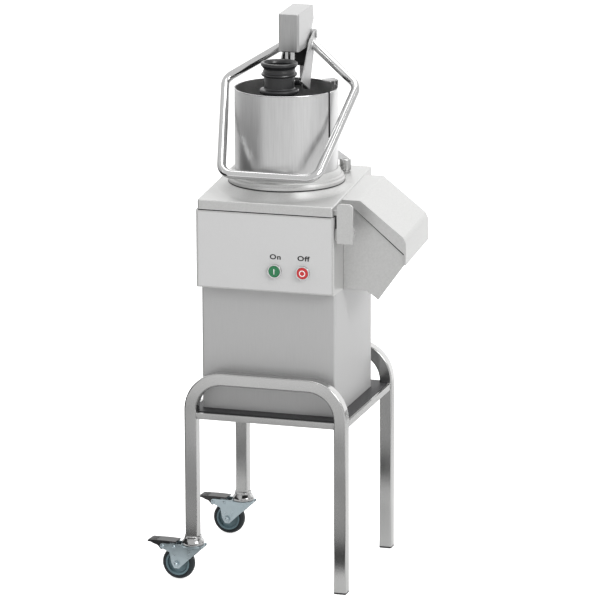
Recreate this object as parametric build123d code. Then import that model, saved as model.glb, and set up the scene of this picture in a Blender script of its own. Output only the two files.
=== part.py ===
from build123d import *
from math import atan2, cos, degrees, pi, radians, sin, sqrt, tan
import os

os.makedirs("parts", exist_ok=True)

# Upright vegetable cutting machine on a tube stand, in millimetres, +Z up.
# The origin is the middle of the footprint, on the floor. Everything is drawn about the
# drive axis, and moved onto the footprint when it is written.
AXIS_X = -14.0
AXIS_Y = -12.0

# Stand: two bent tube hoops, one in front of the machine and one behind
STAND_CX = 4.0
STAND_CY = 12.0
STAND_W = 371.0
STAND_D = 390.0
TUBE = 28.0
TUBE_WALL = 2.0
TUBE_CORNER = 3.5
HOOP_TOP = 481.0
HOOP_BEND = 74.0
RAIL_TOP = 388.0
RAIL_H = 14.0
RAIL_W = 24.0
SHELF_T = 2.0
PLUG_T = 4.0

# Castors under the two left legs
CASTOR_H = 104.0
WHEEL_R = 37.5
WHEEL_W = 24.0
HUB_R = 28.0
TRAIL = 34.0
CASTOR_YAW = -3.0
FORK_PLATE = 2.5
FORK_GAP = 14.0
STEM_R = 6.0
AXLE_R = 4.0
CROWN_R = 26.0
CROWN_TOP = 82.5
PEDAL_REACH = 67.0
PEDAL_Z = 75.5
PEDAL_LEN = 36.0
RUN_FIT = 0.06

# Motor housing and what is inside it
HOUSING_W = 307.0
HOUSING_Y0 = -138.0
HOUSING_Y1 = 143.0
HOUSING_TOP = 669.0
SHEET = 2.0
BASE_T = 3.0
MOTOR_X = -80.0
MOTOR_Y = 74.0
MOTOR_R = 54.0
MOTOR_H = 172.0
MOTOR_SHAFT_R = 8.0
MOTOR_PLATE_Z = 590.0
MOTOR_PLATE_T = 6.0
PULLEY_LIFT = 8.0
PULLEY_W = 22.0
PULLEY_SMALL_R = 20.0
PULLEY_LARGE_R = 82.0
BELT_T = 3.0
BELT_GAP = 0.3
SHAFT_R = 10.0
BEARING_R = 21.0
BEARING_W = 14.0

# Upper casing with the cutting chamber, and the discharge chute on its right
CASING_W = 314.0
CASING_Y0 = -162.0
CASING_Y1 = 146.0
CASING_TOP = 842.0
WALL = 3.5
CHAMBER_R = 104.0
CHAMBER_FLOOR = 706.0
CHUTE_Y0 = -90.0
CHUTE_Y1 = 85.0
CHUTE_TIP = (236.0, 649.0)
CHUTE_NOSE = (295.0, 731.0)
CHUTE_FOOT_X = 210.0
CHUTE_SKEW = 22.0

# Control panel and its two push buttons
PANEL_T = 1.0
ON_X = 23.5
OFF_X = 87.5
BUTTON_Z = 716.0
BUTTON_R = 12.5
BUTTON_TRAVEL = 3.0
BEZEL_R = 15.5
BARREL_R = 11.0

# Feed head: tilted lid with the chute cover, collar and hopper
LID_INSET = 3.0
LID_FRONT_H = 22.0
LID_TILT = 0.1
COVER_T = 3.5
COVER_SHOULDER = (196.0, 868.0)
COVER_NOSE = (293.0, 792.0)
COVER_END_X = 299.0
COVER_END_Z = 731.0
SKIRT_NEAR = (183.0, 850.0)
SKIRT_FAR_Z = 755.0
SKIRT_GAP = 0.4
HINGE_BACK = 9.0
HINGE_RISE = 38.0
HINGE_R = 9.0
HINGE_PIN_R = 4.0
HINGE_X = 121.0
HINGE_LEN = 36.0
COLLAR_Z = 884.0
COLLAR_FLANGE = 15.0
COLLAR_T = 16.0
COLLAR_SEAT = 14.0
HOPPER_STEP = 9.5
HOPPER_WALL = 1.5
HOPPER_RIM = 1091.0
KNOB_ANGLE = 42.0
KNOB_GAP = 14.5
KNOB_R = 13.0
KNOB_Z = 893.0
KNOB_H = 25.0
TAB_ANGLE = 38.0
TAB_REACH = 28.5
TAB_LIP = 4.0
TAB_W = 26.0
TAB_LIFT = 7.5
SLOT_ANGLE = 73.0
SLOT_W = 7.0
SLOT_DEPTH = 100.0

# Lever: bail handle and channel, turning on a pin at the top of the rear column
PIVOT_OUT = 5.5
PIVOT_Z = 1188.0
PIVOT_R = 6.0
LEVER_TILT = 43.8
LEVER_LIFT = 86.0
BAIL_TUBE_R = 10.0
BAIL_WALL = 1.5
SHOULDER_W = 151.0
SHOULDER_S = 129.0
GRIP_W = 108.0
GRIP_S = 374.0
CHEEK_IN = 26.5
CHEEK_T = 3.0
COLUMN_W = 20.0
COLUMN_GAP = 3.0
COLUMN_D = 18.5

# Pusher: head, rod, dished plate and the narrow feed tube through it
HEAD_W = 47.0
HEAD_FRONT = 16.0
HEAD_Z0 = 1165.0
HEAD_H = 84.0
ROD_IN = 25.0
ROD_Y = 29.0
ROD_R = 11.0
ROLLER_R = 8.0
PLATE_Z = 868.0
PLATE_GAP = 4.0
GUIDE_GAP = 5.0
TUBE_Y = -51.0
TUBE_BORE = 29.0
TUBE_R = 33.5
TUBE_TOP = 1156.0

# Cutting tools on the drive shaft
DISC_GAP = 11.0
DISC_Z = 852.0
EJECTOR_GAP = 6.0
EJECTOR_Z = 716.0
HUB_POST_R = 17.0

# Latch bar at the front right corner
LATCH_GAP = 7.0
LATCH_W = 36.0
LATCH_Z0 = 786.0
LATCH_Z1 = 874.0
LATCH_T = 6.0
LATCH_PIN_IN = 16.0
LATCH_PIN_Z = 808.0
LATCH_PIN_R = 4.0
KEEPER_IN = 22.0
KEEPER_Z = 856.0

# Worked out from the sizes above
PULLEY_Z = MOTOR_PLATE_Z + MOTOR_PLATE_T + PULLEY_LIFT
HINGE_Y = CASING_Y1 + HINGE_BACK
HINGE_Z = CASING_TOP + HINGE_RISE
LID_W = CASING_W - 2 * LID_INSET
HOPPER_R = CHAMBER_R + HOPPER_STEP
COLLAR_R = HOPPER_R + COLLAR_FLANGE
KNOB_REACH = COLLAR_R + KNOB_GAP
TAB_IN = HOPPER_R - TAB_REACH
TAB_OUT = HOPPER_R + TAB_LIP
COLUMN_Y0 = COLLAR_R + COLUMN_GAP
COLUMN_Y1 = COLUMN_Y0 + COLUMN_D
PIVOT_Y = COLUMN_Y0 - PIVOT_OUT
HEAD_TOP = HEAD_Z0 + HEAD_H
ROD_TOP = HEAD_Z0 + ROD_IN
PLATE_R = CHAMBER_R - PLATE_GAP
GUIDE_R = HOPPER_R - HOPPER_WALL - GUIDE_GAP
DISC_R = CHAMBER_R - DISC_GAP
EJECTOR_R = CHAMBER_R - EJECTOR_GAP
LATCH_X0 = CASING_W / 2 + LATCH_GAP
LATCH_PIN_Y = CASING_Y0 + LATCH_PIN_IN
KEEPER_Y1 = CASING_Y0 + KEEPER_IN
LEG_L = STAND_CX - STAND_W / 2 + TUBE / 2
LEG_R = STAND_CX + STAND_W / 2 - TUBE / 2
LEG_F = STAND_CY - STAND_D / 2 + TUBE / 2
LEG_B = STAND_CY + STAND_D / 2 - TUBE / 2
SHELF_Z = RAIL_TOP + SHELF_T
LID_Z = CASING_TOP + LID_FRONT_H
ROLLER_Z = PIVOT_Z - (PIVOT_Y - ROD_Y) * tan(radians(LEVER_LIFT / 2))
PUSHER_STROKE = 2 * (PIVOT_Y - ROD_Y) * tan(radians(LEVER_LIFT / 2))
BELT_SPAN = sqrt(MOTOR_X**2 + MOTOR_Y**2)


def slab(x0, x1, y0, y1, z0, z1):
    """A box given by its two corners."""
    middle = Pos((x0 + x1) / 2, (y0 + y1) / 2, (z0 + z1) / 2)
    return middle * Box(x1 - x0, y1 - y0, z1 - z0)


def post(r, z0, z1, x=0.0, y=0.0):
    """An upright cylinder."""
    return Pos(x, y, (z0 + z1) / 2) * Cylinder(r, z1 - z0)


def ring(r_out, r_in, z0, z1, x=0.0, y=0.0):
    """An upright ring."""
    return post(r_out, z0, z1, x, y) - post(r_in, z0 - 1, z1 + 1, x, y)


def bar_x(r, x0, x1, y, z):
    """A cylinder along X."""
    return Pos((x0 + x1) / 2, y, z) * Rot(0, 90, 0) * Cylinder(r, x1 - x0)


def bar_y(r, y0, y1, x, z):
    """A cylinder along Y."""
    return Pos(x, (y0 + y1) / 2, z) * Rot(90, 0, 0) * Cylinder(r, y1 - y0)


def side_profile(points, x0, x1):
    """A Y-Z outline carried along X."""
    face = make_face(Polyline(*points, close=True))
    return extrude(Plane.YZ.offset(x0) * face, amount=x1 - x0)


def front_profile(points, y0, y1, rise=0.0):
    """An X-Z outline carried along Y, climbing by rise for each unit of Y."""
    face = Plane.XZ.offset(-y0) * make_face(Polyline(*points, close=True))
    length = (y1 - y0) * sqrt(1 + rise**2)
    return extrude(face, amount=length, dir=Vector(0, 1, rise).normalized())


def turned(points, x=0.0, y=0.0):
    """An R-Z outline turned about an upright axis."""
    face = Plane.XZ * make_face(Polyline(*points, close=True))
    return Pos(x, y, 0) * revolve(face, axis=Axis.Z)


def write(name, *pieces):
    """Move the pieces onto the footprint and write them as one node."""
    solids = []
    for piece in pieces:
        solids += (Pos(AXIS_X, AXIS_Y, 0) * piece).solids()
    node = solids[0] if len(solids) == 1 else Compound(children=solids)
    export_step(node, f"parts/{name}.step")


# Stand

def hoop(y):
    """One tube hoop: the left leg ends on a castor, the right leg reaches the floor."""
    top = HOOP_TOP - TUBE / 2
    corners = [(LEG_L, y, CASTOR_H), (LEG_L, y, top), (LEG_R, y, top), (LEG_R, y, PLUG_T)]
    path = FilletPolyline(*corners, radius=HOOP_BEND)
    bore = TUBE - 2 * TUBE_WALL
    section = RectangleRounded(TUBE, TUBE, TUBE_CORNER)
    section -= RectangleRounded(bore, bore, TUBE_CORNER - TUBE_WALL)
    return sweep(Plane(origin=corners[0], z_dir=(0, 0, 1)) * section, path=path)


def rail(length, along_x, x, y):
    """A shelf rail of flat tube, its long axis along X or Y."""
    outer = Box(length, RAIL_W, RAIL_H) - Box(length + 2, RAIL_W - 3, RAIL_H - 3)
    turn = 0 if along_x else 90
    return Pos(x, y, RAIL_TOP - RAIL_H / 2) * Rot(0, 0, turn) * outer


def leg_plug(y):
    """A plastic plug in the open end of a right leg."""
    bore = TUBE - 2 * TUBE_WALL
    foot = RectangleRounded(TUBE, TUBE, TUBE_CORNER)
    spigot = RectangleRounded(bore, bore, TUBE_CORNER - TUBE_WALL)
    plug = extrude(foot, amount=PLUG_T) + extrude(spigot, amount=PLUG_T + 18)
    return Pos(LEG_R, y, 0) * plug


def castor_socket(y):
    """The plated cup that closes a left leg and takes the castor's stem."""
    bore = TUBE - 2 * TUBE_WALL
    foot = CROWN_TOP + 1.5
    cup = turned([(0, foot), (24.5, foot), (25, foot + 3), (24, foot + 7), (20.5, foot + 12),
                  (18.8, foot + 14),
                  (18.8, CASTOR_H - 1), (17.8, CASTOR_H), (0, CASTOR_H)])
    spigot = extrude(RectangleRounded(bore, bore, TUBE_CORNER - TUBE_WALL), amount=24)
    cup += Pos(0, 0, CASTOR_H - 2) * spigot
    return Pos(LEG_L, y, 0) * (cup - post(STEM_R + RUN_FIT, foot - 1, CASTOR_H + 16))


write("front_frame_tube", hoop(LEG_F))
write("rear_frame_tube", hoop(LEG_B))
span_y = LEG_B - LEG_F - TUBE
span_x = LEG_R - LEG_L - TUBE
write("side_rails", *[rail(span_y, False, x, STAND_CY) for x in (LEG_L, LEG_R)])
write("cross_rails", *[rail(span_x, True, STAND_CX, y) for y in (LEG_F, LEG_B)])
SHELF_IN = TUBE / 2 + 1
write("shelf_plate", slab(LEG_L + SHELF_IN, LEG_R - SHELF_IN, LEG_F - 2, LEG_B + 2, RAIL_TOP, SHELF_Z)
      + slab(LEG_L - 4, LEG_R + 4, LEG_F + SHELF_IN, LEG_B - SHELF_IN, RAIL_TOP, SHELF_Z))
write("leg_plugs", leg_plug(LEG_F), leg_plug(LEG_B))
write("castor_sockets", castor_socket(LEG_F), castor_socket(LEG_B))


# Castors, drawn about the swivel axis with the wheel trailing towards -X

def castor_fork():
    """Pressed fork: a round crown, two shaped cheeks with ears for the pedal, and the stem."""
    fork = post(CROWN_R, CROWN_TOP - 3.5, CROWN_TOP) + post(22, CROWN_TOP - 1, CROWN_TOP + 1.2)
    fork += post(STEM_R, CROWN_TOP - 2, CASTOR_H + 14)
    outline = [(CROWN_R, CROWN_TOP), (-PEDAL_REACH + 1, CROWN_TOP - 0.5), (-PEDAL_REACH + 1, PEDAL_Z - 6)]
    outline += [(-TRAIL - 16.5, 62.5), (-TRAIL - 12, 39), (-TRAIL - 5.5, 27), (-TRAIL + 5.5, 27)]
    outline += [(-TRAIL + 17, 38), (CROWN_R, 78)]
    for side in (-1, 1):
        near, far = sorted((side * FORK_GAP, side * (FORK_GAP + FORK_PLATE)))
        fork += front_profile(outline, near, far) + bar_y(6.5, near, far, -PEDAL_REACH, PEDAL_Z)
    fork -= bar_y(AXLE_R, -30, 30, -TRAIL, WHEEL_R)
    return fork - bar_y(3.2, -30, 30, -PEDAL_REACH, PEDAL_Z)


def castor_axle():
    """Axle bolt with a head and a nut outside the cheeks."""
    face = FORK_GAP + FORK_PLATE
    bolt = bar_y(AXLE_R, -face - 3, face + 3, -TRAIL, WHEEL_R)
    hexagon = Plane.XZ.offset(-face) * RegularPolygon(7, 6)
    nut = Pos(-TRAIL, 0, WHEEL_R) * extrude(hexagon, amount=5, dir=(0, 1, 0))
    head = Pos(0, -2 * face - 5, 0) * nut
    return bolt + nut + head


def castor_hub():
    """Dished plastic wheel centre with a boss."""
    half = WHEEL_W / 2 - 2
    profile = [(AXLE_R + RUN_FIT, -half - 1.5), (9, -half - 1.5), (9, -4), (HUB_R - 5, -3),
               (HUB_R - 4, -half)]
    profile += [(HUB_R, -half), (HUB_R, half), (HUB_R - 4, half), (HUB_R - 5, 3), (9, 4), (9, half + 1.5)]
    profile += [(AXLE_R + RUN_FIT, half + 1.5)]
    return Pos(-TRAIL, 0, WHEEL_R) * Rot(90, 0, 0) * turned(profile)


def castor_tyre():
    """Rounded solid tyre on the wheel centre."""
    half = WHEEL_W / 2
    edge = WHEEL_R - 4
    profile = [(HUB_R, -half + 1.5), (edge - 3, -half), (edge, -half + 1), (WHEEL_R - 1, -half + 6)]
    profile += [(WHEEL_R, 0), (WHEEL_R - 1, half - 6), (edge, half - 1), (edge - 3, half),
                (HUB_R, half - 1.5)]
    return Pos(-TRAIL, 0, WHEEL_R) * Rot(90, 0, 0) * turned(profile)


def castor_pedal():
    """Brake pedal: a tread over the fork, with a wedge under it on a pin through the ears."""
    tip = -PEDAL_REACH - PEDAL_LEN
    under = CROWN_TOP + 2
    tread = [(-36, under), (tip + 4, under - 2), (tip, under - 1), (tip, under + 1.5), (tip + 4, under + 3)]
    tread += [(-PEDAL_REACH + 6, under + 4), (-36, under + 3.5)]
    pedal = front_profile(tread, -16, 16)
    wedge = [(tip + 2, under), (tip + 11, under - 5), (-PEDAL_REACH - 13, PEDAL_Z),
             (-PEDAL_REACH - 5, PEDAL_Z - 9)]
    wedge += [(-PEDAL_REACH + 1, PEDAL_Z - 7), (-PEDAL_REACH + 7, PEDAL_Z), (-PEDAL_REACH + 7, under + 1)]
    wedge += [(tip + 2, under + 1)]
    pedal += front_profile(wedge, -FORK_GAP + 0.4, FORK_GAP - 0.4)
    reach = FORK_GAP + FORK_PLATE
    return pedal + bar_y(3.2 - RUN_FIT, -reach, reach, -PEDAL_REACH, PEDAL_Z)


for end, leg_y in (("front", LEG_F), ("rear", LEG_B)):
    stand_at = Pos(LEG_L, leg_y, 0) * Rot(0, 0, CASTOR_YAW)
    write(f"{end}_castor_fork", stand_at * castor_fork())
    write(f"{end}_castor_axle", stand_at * castor_axle())
    write(f"{end}_castor_hub", stand_at * castor_hub())
    write(f"{end}_castor_tyre", stand_at * castor_tyre())
    write(f"{end}_castor_pedal", stand_at * castor_pedal())


# Motor housing and its works

def housing_box(inset, z0, z1, radius):
    """The housing's rounded plan, drawn in by inset, between two levels."""
    depth = HOUSING_Y1 - HOUSING_Y0
    plan = RectangleRounded(HOUSING_W - 2 * inset, depth - 2 * inset, radius)
    return Pos(0, (HOUSING_Y0 + HOUSING_Y1) / 2, z0) * extrude(plan, amount=z1 - z0)


def motor_housing():
    """Folded sheet housing, with air slots low in the back."""
    shell = housing_box(0, SHELF_Z, HOUSING_TOP, 6) - housing_box(SHEET, SHELF_Z - 1, HOUSING_TOP + 1, 4)
    for side in (-1, 1):
        for row in range(7):
            slot = slab(-34, 34, HOUSING_Y1 - 6, HOUSING_Y1 + 2, -2.5, 2.5)
            shell -= Pos(side * 62, 0, 470 + 14 * row) * slot
    return shell - bar_y(8, HOUSING_Y1 - 6, HOUSING_Y1 + 2, -110, 432)


def cable_gland():
    """Empty cable inlet in the back of the housing."""
    gland = bar_y(12, HOUSING_Y1, HOUSING_Y1 + 5, -110, 432)
    gland += bar_y(8, HOUSING_Y1 - 8, HOUSING_Y1 + 18, -110, 432)
    return gland - bar_y(4.5, HOUSING_Y1 - 10, HOUSING_Y1 + 20, -110, 432)


def motor_body():
    """Finned motor case hung from the motor plate, hollow for its rotor."""
    top = MOTOR_PLATE_Z
    bottom = top - MOTOR_H
    bore = MOTOR_SHAFT_R + RUN_FIT
    case = [(bore, bottom), (38, bottom), (46, bottom + 8), (46, top - 8), (MOTOR_R, top - 8), (MOTOR_R, top)]
    case += [(bore, top), (bore, top - 14), (31, top - 14), (31, bottom + 14), (bore, bottom + 14)]
    body = turned(case)
    fin = slab(45, MOTOR_R - 2, -1.5, 1.5, bottom + 18, top - 12)
    for turn in range(0, 360, 20):
        body += Rot(0, 0, turn) * fin
    return Pos(MOTOR_X, MOTOR_Y, 0) * body


def motor_shaft():
    """Rotor on its shaft."""
    bottom = MOTOR_PLATE_Z - MOTOR_H
    shaft = post(MOTOR_SHAFT_R, bottom - 4, PULLEY_Z + PULLEY_W + 4)
    rotor = post(30.5, bottom + 24, MOTOR_PLATE_Z - 24)
    return Pos(MOTOR_X, MOTOR_Y, 0) * (shaft + rotor)


def pulley(groove_r, bore, x, y):
    """Flanged belt pulley with a lightened web when it is large."""
    top = PULLEY_Z + PULLEY_W
    lip = groove_r + BELT_T
    outline = [(bore, PULLEY_Z), (lip, PULLEY_Z), (lip, PULLEY_Z + 2), (groove_r, PULLEY_Z + 3)]
    outline += [(groove_r, top - 3), (lip, top - 2), (lip, top), (bore, top)]
    wheel = turned(outline)
    if groove_r > 3 * bore:
        pocket = ring(groove_r - 8, 26, PULLEY_Z - 1, PULLEY_Z + 7)
        wheel -= pocket
        wheel -= Pos(0, 0, PULLEY_W - 6) * pocket
        for turn in range(0, 360, 60):
            wheel -= Rot(0, 0, turn) * post(13, PULLEY_Z, top, 50)
    return Pos(x, y, 0) * wheel


def drive_belt():
    """Flat loop round both pulleys, just clear of their grooves."""
    inner_a = PULLEY_LARGE_R + BELT_GAP
    inner_b = PULLEY_SMALL_R + BELT_GAP
    z0 = PULLEY_Z + 4
    z1 = PULLEY_Z + PULLEY_W - 4

    def loop(grow):
        big = inner_a + grow
        small = inner_b + grow
        lean = degrees(atan2(sqrt(BELT_SPAN**2 - (big - small) ** 2), big - small))
        tip = [(big * cos(radians(a)), big * sin(radians(a))) for a in (lean, -lean)]
        far = [(BELT_SPAN + small * cos(radians(a)), small * sin(radians(a))) for a in (-lean, lean)]
        strip = make_face(Polyline(*tip, *far, close=True))
        plan = Circle(big) + Pos(BELT_SPAN, 0) * Circle(small) + strip
        return extrude(plan, amount=z1 - z0)

    turn = degrees(atan2(MOTOR_Y, MOTOR_X))
    return Pos(0, 0, z0) * Rot(0, 0, turn) * (loop(BELT_T) - loop(0))


def motor_plate():
    """Cross plate that carries the motor, with room for both shafts."""
    plate = housing_box(SHEET, MOTOR_PLATE_Z, MOTOR_PLATE_Z + MOTOR_PLATE_T, 4)
    plate -= post(MOTOR_SHAFT_R + 4, MOTOR_PLATE_Z - 1, MOTOR_PLATE_Z + 9, MOTOR_X, MOTOR_Y)
    return plate - slab(60, 130, -90, 90, MOTOR_PLATE_Z - 1, MOTOR_PLATE_Z + 9)


def bearing_housing():
    """Cast hub under the chamber floor, bored for two bearings."""
    top = CHAMBER_FLOOR - 6
    hub = turned([(BEARING_R, 642), (32, 642), (34, 646), (34, 680), (52, 692), (52, top), (BEARING_R, top)])
    rib = side_profile([(30, 650), (36, 650), (76, 694), (76, top), (30, top)], -3, 3)
    for turn in range(0, 360, 90):
        hub += Rot(0, 0, turn + 45) * rib
    return hub


def shaft_bearing(z0):
    """Ball bearing drawn as one ring with a groove in each face."""
    body = ring(BEARING_R, SHAFT_R + RUN_FIT, z0, z0 + BEARING_W)
    groove = ring(17.5, 13.5, z0 - 1, z0 + 1.5)
    return body - groove - Pos(0, 0, BEARING_W - 0.5) * groove


write("base_plate", housing_box(SHEET, SHELF_Z, SHELF_Z + BASE_T, 4))
write("motor_housing", motor_housing())
write("cable_gland", cable_gland())
write("motor_plate", motor_plate())
write("motor_body", motor_body())
write("motor_shaft", motor_shaft())
write("drive_pulley", pulley(PULLEY_SMALL_R, MOTOR_SHAFT_R, MOTOR_X, MOTOR_Y))
write("driven_pulley", pulley(PULLEY_LARGE_R, SHAFT_R, 0, 0))
write("drive_belt", drive_belt())
write("bearing_housing", bearing_housing())
write("shaft_bearings", shaft_bearing(644), shaft_bearing(682))
write("drive_shaft", post(SHAFT_R, PULLEY_Z - 4, EJECTOR_Z + 40) + post(7, EJECTOR_Z + 39, DISC_Z + 6))


# Upper casing with the cutting chamber

def chute_opening(y0, y1, x0, x1):
    """The way out of the chamber towards the chute."""
    return slab(x0, x1, y0, y1, CHAMBER_FLOOR, CASING_TOP - 6)


def upper_casing():
    """Casing walls, top deck, chamber bowl and the passage out of it, as one casting."""
    half = CASING_W / 2
    casing = slab(-half, half, CASING_Y0, CASING_Y1, HOUSING_TOP, CASING_TOP)
    casing = fillet(casing.edges().filter_by(Axis.Z), 3)
    inside = slab(-half + WALL, half - WALL, CASING_Y0 + WALL, CASING_Y1 - WALL, HOUSING_TOP + WALL,
                  CASING_TOP - 6)
    casing -= inside
    casing -= housing_box(14, HOUSING_TOP - 1, HOUSING_TOP + WALL + 1, 4)
    casing += ring(CHAMBER_R + WALL, CHAMBER_R, CHAMBER_FLOOR, CASING_TOP)
    casing += post(CHAMBER_R + WALL, CHAMBER_FLOOR - 6, CHAMBER_FLOOR)
    casing += slab(60, half, CHUTE_Y0, CHUTE_Y1, CHAMBER_FLOOR - 6, CASING_TOP - 6)
    casing -= chute_opening(CHUTE_Y0 + WALL, CHUTE_Y1 - WALL, 60, half + 1)
    casing -= post(CHAMBER_R, CHAMBER_FLOOR, CASING_TOP + 1)
    casing -= post(SHAFT_R + 1, CHAMBER_FLOOR - 7, CHAMBER_FLOOR + 1)
    for x in (ON_X, OFF_X):
        casing -= bar_y(BARREL_R, CASING_Y0 - 1, CASING_Y0 + WALL + 1, x, BUTTON_Z)
    ear = side_profile(
        [(CASING_Y1 - 2, CASING_TOP - 30), (HINGE_Y + HINGE_R, HINGE_Z - 6), (HINGE_Y + HINGE_R, HINGE_Z),
         (HINGE_Y, HINGE_Z + HINGE_R - 1), (HINGE_Y - HINGE_R + 1, HINGE_Z), (CASING_Y1, CASING_TOP),
         (CASING_Y1 - 2, CASING_TOP)], 0, 7)
    ear -= bar_x(HINGE_PIN_R, -1, 8, HINGE_Y, HINGE_Z)
    for x in (HINGE_X, -HINGE_X):
        casing += Pos(x + HINGE_LEN / 2 + 0.4, 0, 0) * ear
        casing += Pos(x - HINGE_LEN / 2 - 7.4, 0, 0) * ear
    lug = side_profile(
        [(CASING_Y0 + 6, 790), (LATCH_PIN_Y + 8, 790), (LATCH_PIN_Y + 8, LATCH_PIN_Z + 8),
         (CASING_Y0 + 8, LATCH_PIN_Z + 8)], half - 1, LATCH_X0 - 0.5)
    return casing + lug


def outlet_cut():
    """The space outside the chute's slanted mouth, whose rear side is drawn in by the skew."""
    edge = (Vector(CHUTE_NOSE[0], 0, CHUTE_NOSE[1]) - Vector(CHUTE_TIP[0], 0, CHUTE_TIP[1])).normalized()
    mouth = Plane(origin=(CHUTE_TIP[0], CHUTE_Y0, CHUTE_TIP[1]), x_dir=(edge.Z, 0, -edge.X), z_dir=edge)
    lean = CHUTE_SKEW / (CHUTE_Y1 - CHUTE_Y0)
    length = CHUTE_Y1 - CHUTE_Y0 + 10
    plan = [(-0.05, 0), (-0.05, -10), (60, -10), (60, length), (-0.05 - lean * length, length)]
    return extrude(mouth * make_face(Polyline(*plan, close=True)), amount=160, both=True)


def discharge_chute():
    """Open-ended trough: two side walls, a sloping floor and a closed foot."""
    x0 = CASING_W / 2
    foot = HOUSING_TOP - 1
    wall = [(x0, foot), (CHUTE_FOOT_X, foot), CHUTE_TIP, CHUTE_NOSE, (CHUTE_NOSE[0], SKIRT_FAR_Z + 18)]
    wall += [(COVER_SHOULDER[0] - 8, COVER_SHOULDER[1] - 12), (x0, COVER_SHOULDER[1] - 12)]
    floor = [(x0, CHAMBER_FLOOR), (x0 + 14, CHAMBER_FLOOR - 4), (CHUTE_TIP[0] + 3, CHUTE_TIP[1] + 4),
             CHUTE_TIP]
    floor += [(CHUTE_FOOT_X, foot), (x0, foot)]
    hollow = [(x0 - 1, CHAMBER_FLOOR - 7), (x0 + 11, CHAMBER_FLOOR - 9), (CHUTE_FOOT_X - 5, foot + WALL)]
    hollow += [(x0 - 1, foot + WALL)]
    chute = front_profile(wall, CHUTE_Y0, CHUTE_Y0 + WALL)
    chute += front_profile(wall, CHUTE_Y1 - WALL, CHUTE_Y1)
    chute += front_profile(floor, CHUTE_Y0, CHUTE_Y1)
    chute -= front_profile(hollow, CHUTE_Y0 + WALL, CHUTE_Y1 - WALL)
    return chute - outlet_cut()


def control_panel():
    """Thin front plate with two button holes."""
    plate = slab(-CASING_W / 2 + 5, CASING_W / 2 - 5, CASING_Y0 - PANEL_T, CASING_Y0, HOUSING_TOP + 3,
                 CASING_TOP - 4)
    for x in (ON_X, OFF_X):
        plate -= bar_y(BARREL_R, CASING_Y0 - 2, CASING_Y0 + 1, x, BUTTON_Z)
    return plate


def button_bezel(x):
    """Bezel and threaded barrel of one push button, with its ring nut behind the wall."""
    face = CASING_Y0 - PANEL_T
    collar = bar_y(BEZEL_R, face - 6, face, x, BUTTON_Z)
    collar += bar_y(BARREL_R, face - 1, CASING_Y0 + 14, x, BUTTON_Z)
    nut = bar_y(BARREL_R + 3, CASING_Y0 + WALL, CASING_Y0 + WALL + 4, x, BUTTON_Z)
    bore = bar_y(BUTTON_R + 0.4, face - 7, face - 1.5, x, BUTTON_Z)
    return collar + nut - bore - bar_y(6, face - 2, CASING_Y0 + 15, x, BUTTON_Z)


def push_button(x):
    """Button cap on its plunger."""
    face = CASING_Y0 - PANEL_T
    cap = bar_y(BUTTON_R, face - 1.6 - BUTTON_TRAVEL - 3.4, face - 1.6 - BUTTON_TRAVEL, x, BUTTON_Z)
    cap = fillet(cap.edges().group_by(Axis.Y)[0], 1)
    return cap + bar_y(5.6, face - 5, CASING_Y0 + 14 - BUTTON_TRAVEL - 0.4, x, BUTTON_Z)


def switch_block(x):
    """Contact block on the back of a button's barrel."""
    y0 = CASING_Y0 + 14
    return slab(x - 14, x + 14, y0, y0 + 22, BUTTON_Z - 18, BUTTON_Z + 18)


write("upper_casing", upper_casing())
write("discharge_chute", discharge_chute())
write("control_panel", control_panel())
write("button_bezels", button_bezel(ON_X), button_bezel(OFF_X))
write("on_button", push_button(ON_X))
write("off_button", push_button(OFF_X))
write("switch_blocks", switch_block(ON_X), switch_block(OFF_X))


# Cutting tools

def ejector_disc():
    """Flinger under the cutting disc: a plate with curved vanes and the drive hub."""
    disc = post(EJECTOR_R, EJECTOR_Z, EJECTOR_Z + 5)
    disc += post(HUB_POST_R, EJECTOR_Z, EJECTOR_Z + 40)
    vane = ring(70, 67, EJECTOR_Z + 4, EJECTOR_Z + 24, 56, 0)
    vane &= slab(14, 92, -70, 0, EJECTOR_Z, EJECTOR_Z + 30)
    for turn in (0, 120, 240):
        disc += Rot(0, 0, turn) * vane
    disc = disc & post(EJECTOR_R, EJECTOR_Z - 1, EJECTOR_Z + 41)
    return disc - post(SHAFT_R, EJECTOR_Z - 1, EJECTOR_Z + 41)


BLADE_ANGLES = (0, 120, 240)


def slicing_disc():
    """Thin disc with three blade windows, a rim turned down and a hub sleeve."""
    disc = post(DISC_R, DISC_Z, DISC_Z + 3) - post(7, DISC_Z - 1, DISC_Z + 4)
    disc += ring(DISC_R, DISC_R - 2.5, DISC_Z - 8, DISC_Z)
    disc += ring(HUB_POST_R, 7, EJECTOR_Z + 40, DISC_Z)
    for turn in BLADE_ANGLES:
        window = slab(24, DISC_R - 6, -7, 7, DISC_Z - 1, DISC_Z + 4)
        disc -= Rot(0, 0, turn) * window
    return disc


def disc_blade(turn):
    """Ground knife set over one window, its edge standing proud of the disc."""
    edge = [(-14, DISC_Z + 3), (2, DISC_Z + 3), (4, DISC_Z + 5.4), (2.5, DISC_Z + 5.6), (-14, DISC_Z + 4.5)]
    return Rot(0, 0, turn) * side_profile(edge, 26, DISC_R - 8)


def disc_hub():
    """Screwed cap that holds the disc on the shaft."""
    return turned([(7, DISC_Z + 3), (20, DISC_Z + 3), (20, DISC_Z + 6), (14, DISC_Z + 11), (0, DISC_Z + 12.5),
                   (0, DISC_Z + 6), (7, DISC_Z + 6)])


write("ejector_disc", ejector_disc())
write("slicing_disc", slicing_disc())
write("disc_blades", *[disc_blade(turn) for turn in BLADE_ANGLES])
write("disc_hub", disc_hub())


# Feed head

def lid_height(y):
    """Level of the tilted lid top at a distance back."""
    return LID_Z + LID_TILT * (y - CASING_Y0)


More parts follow.
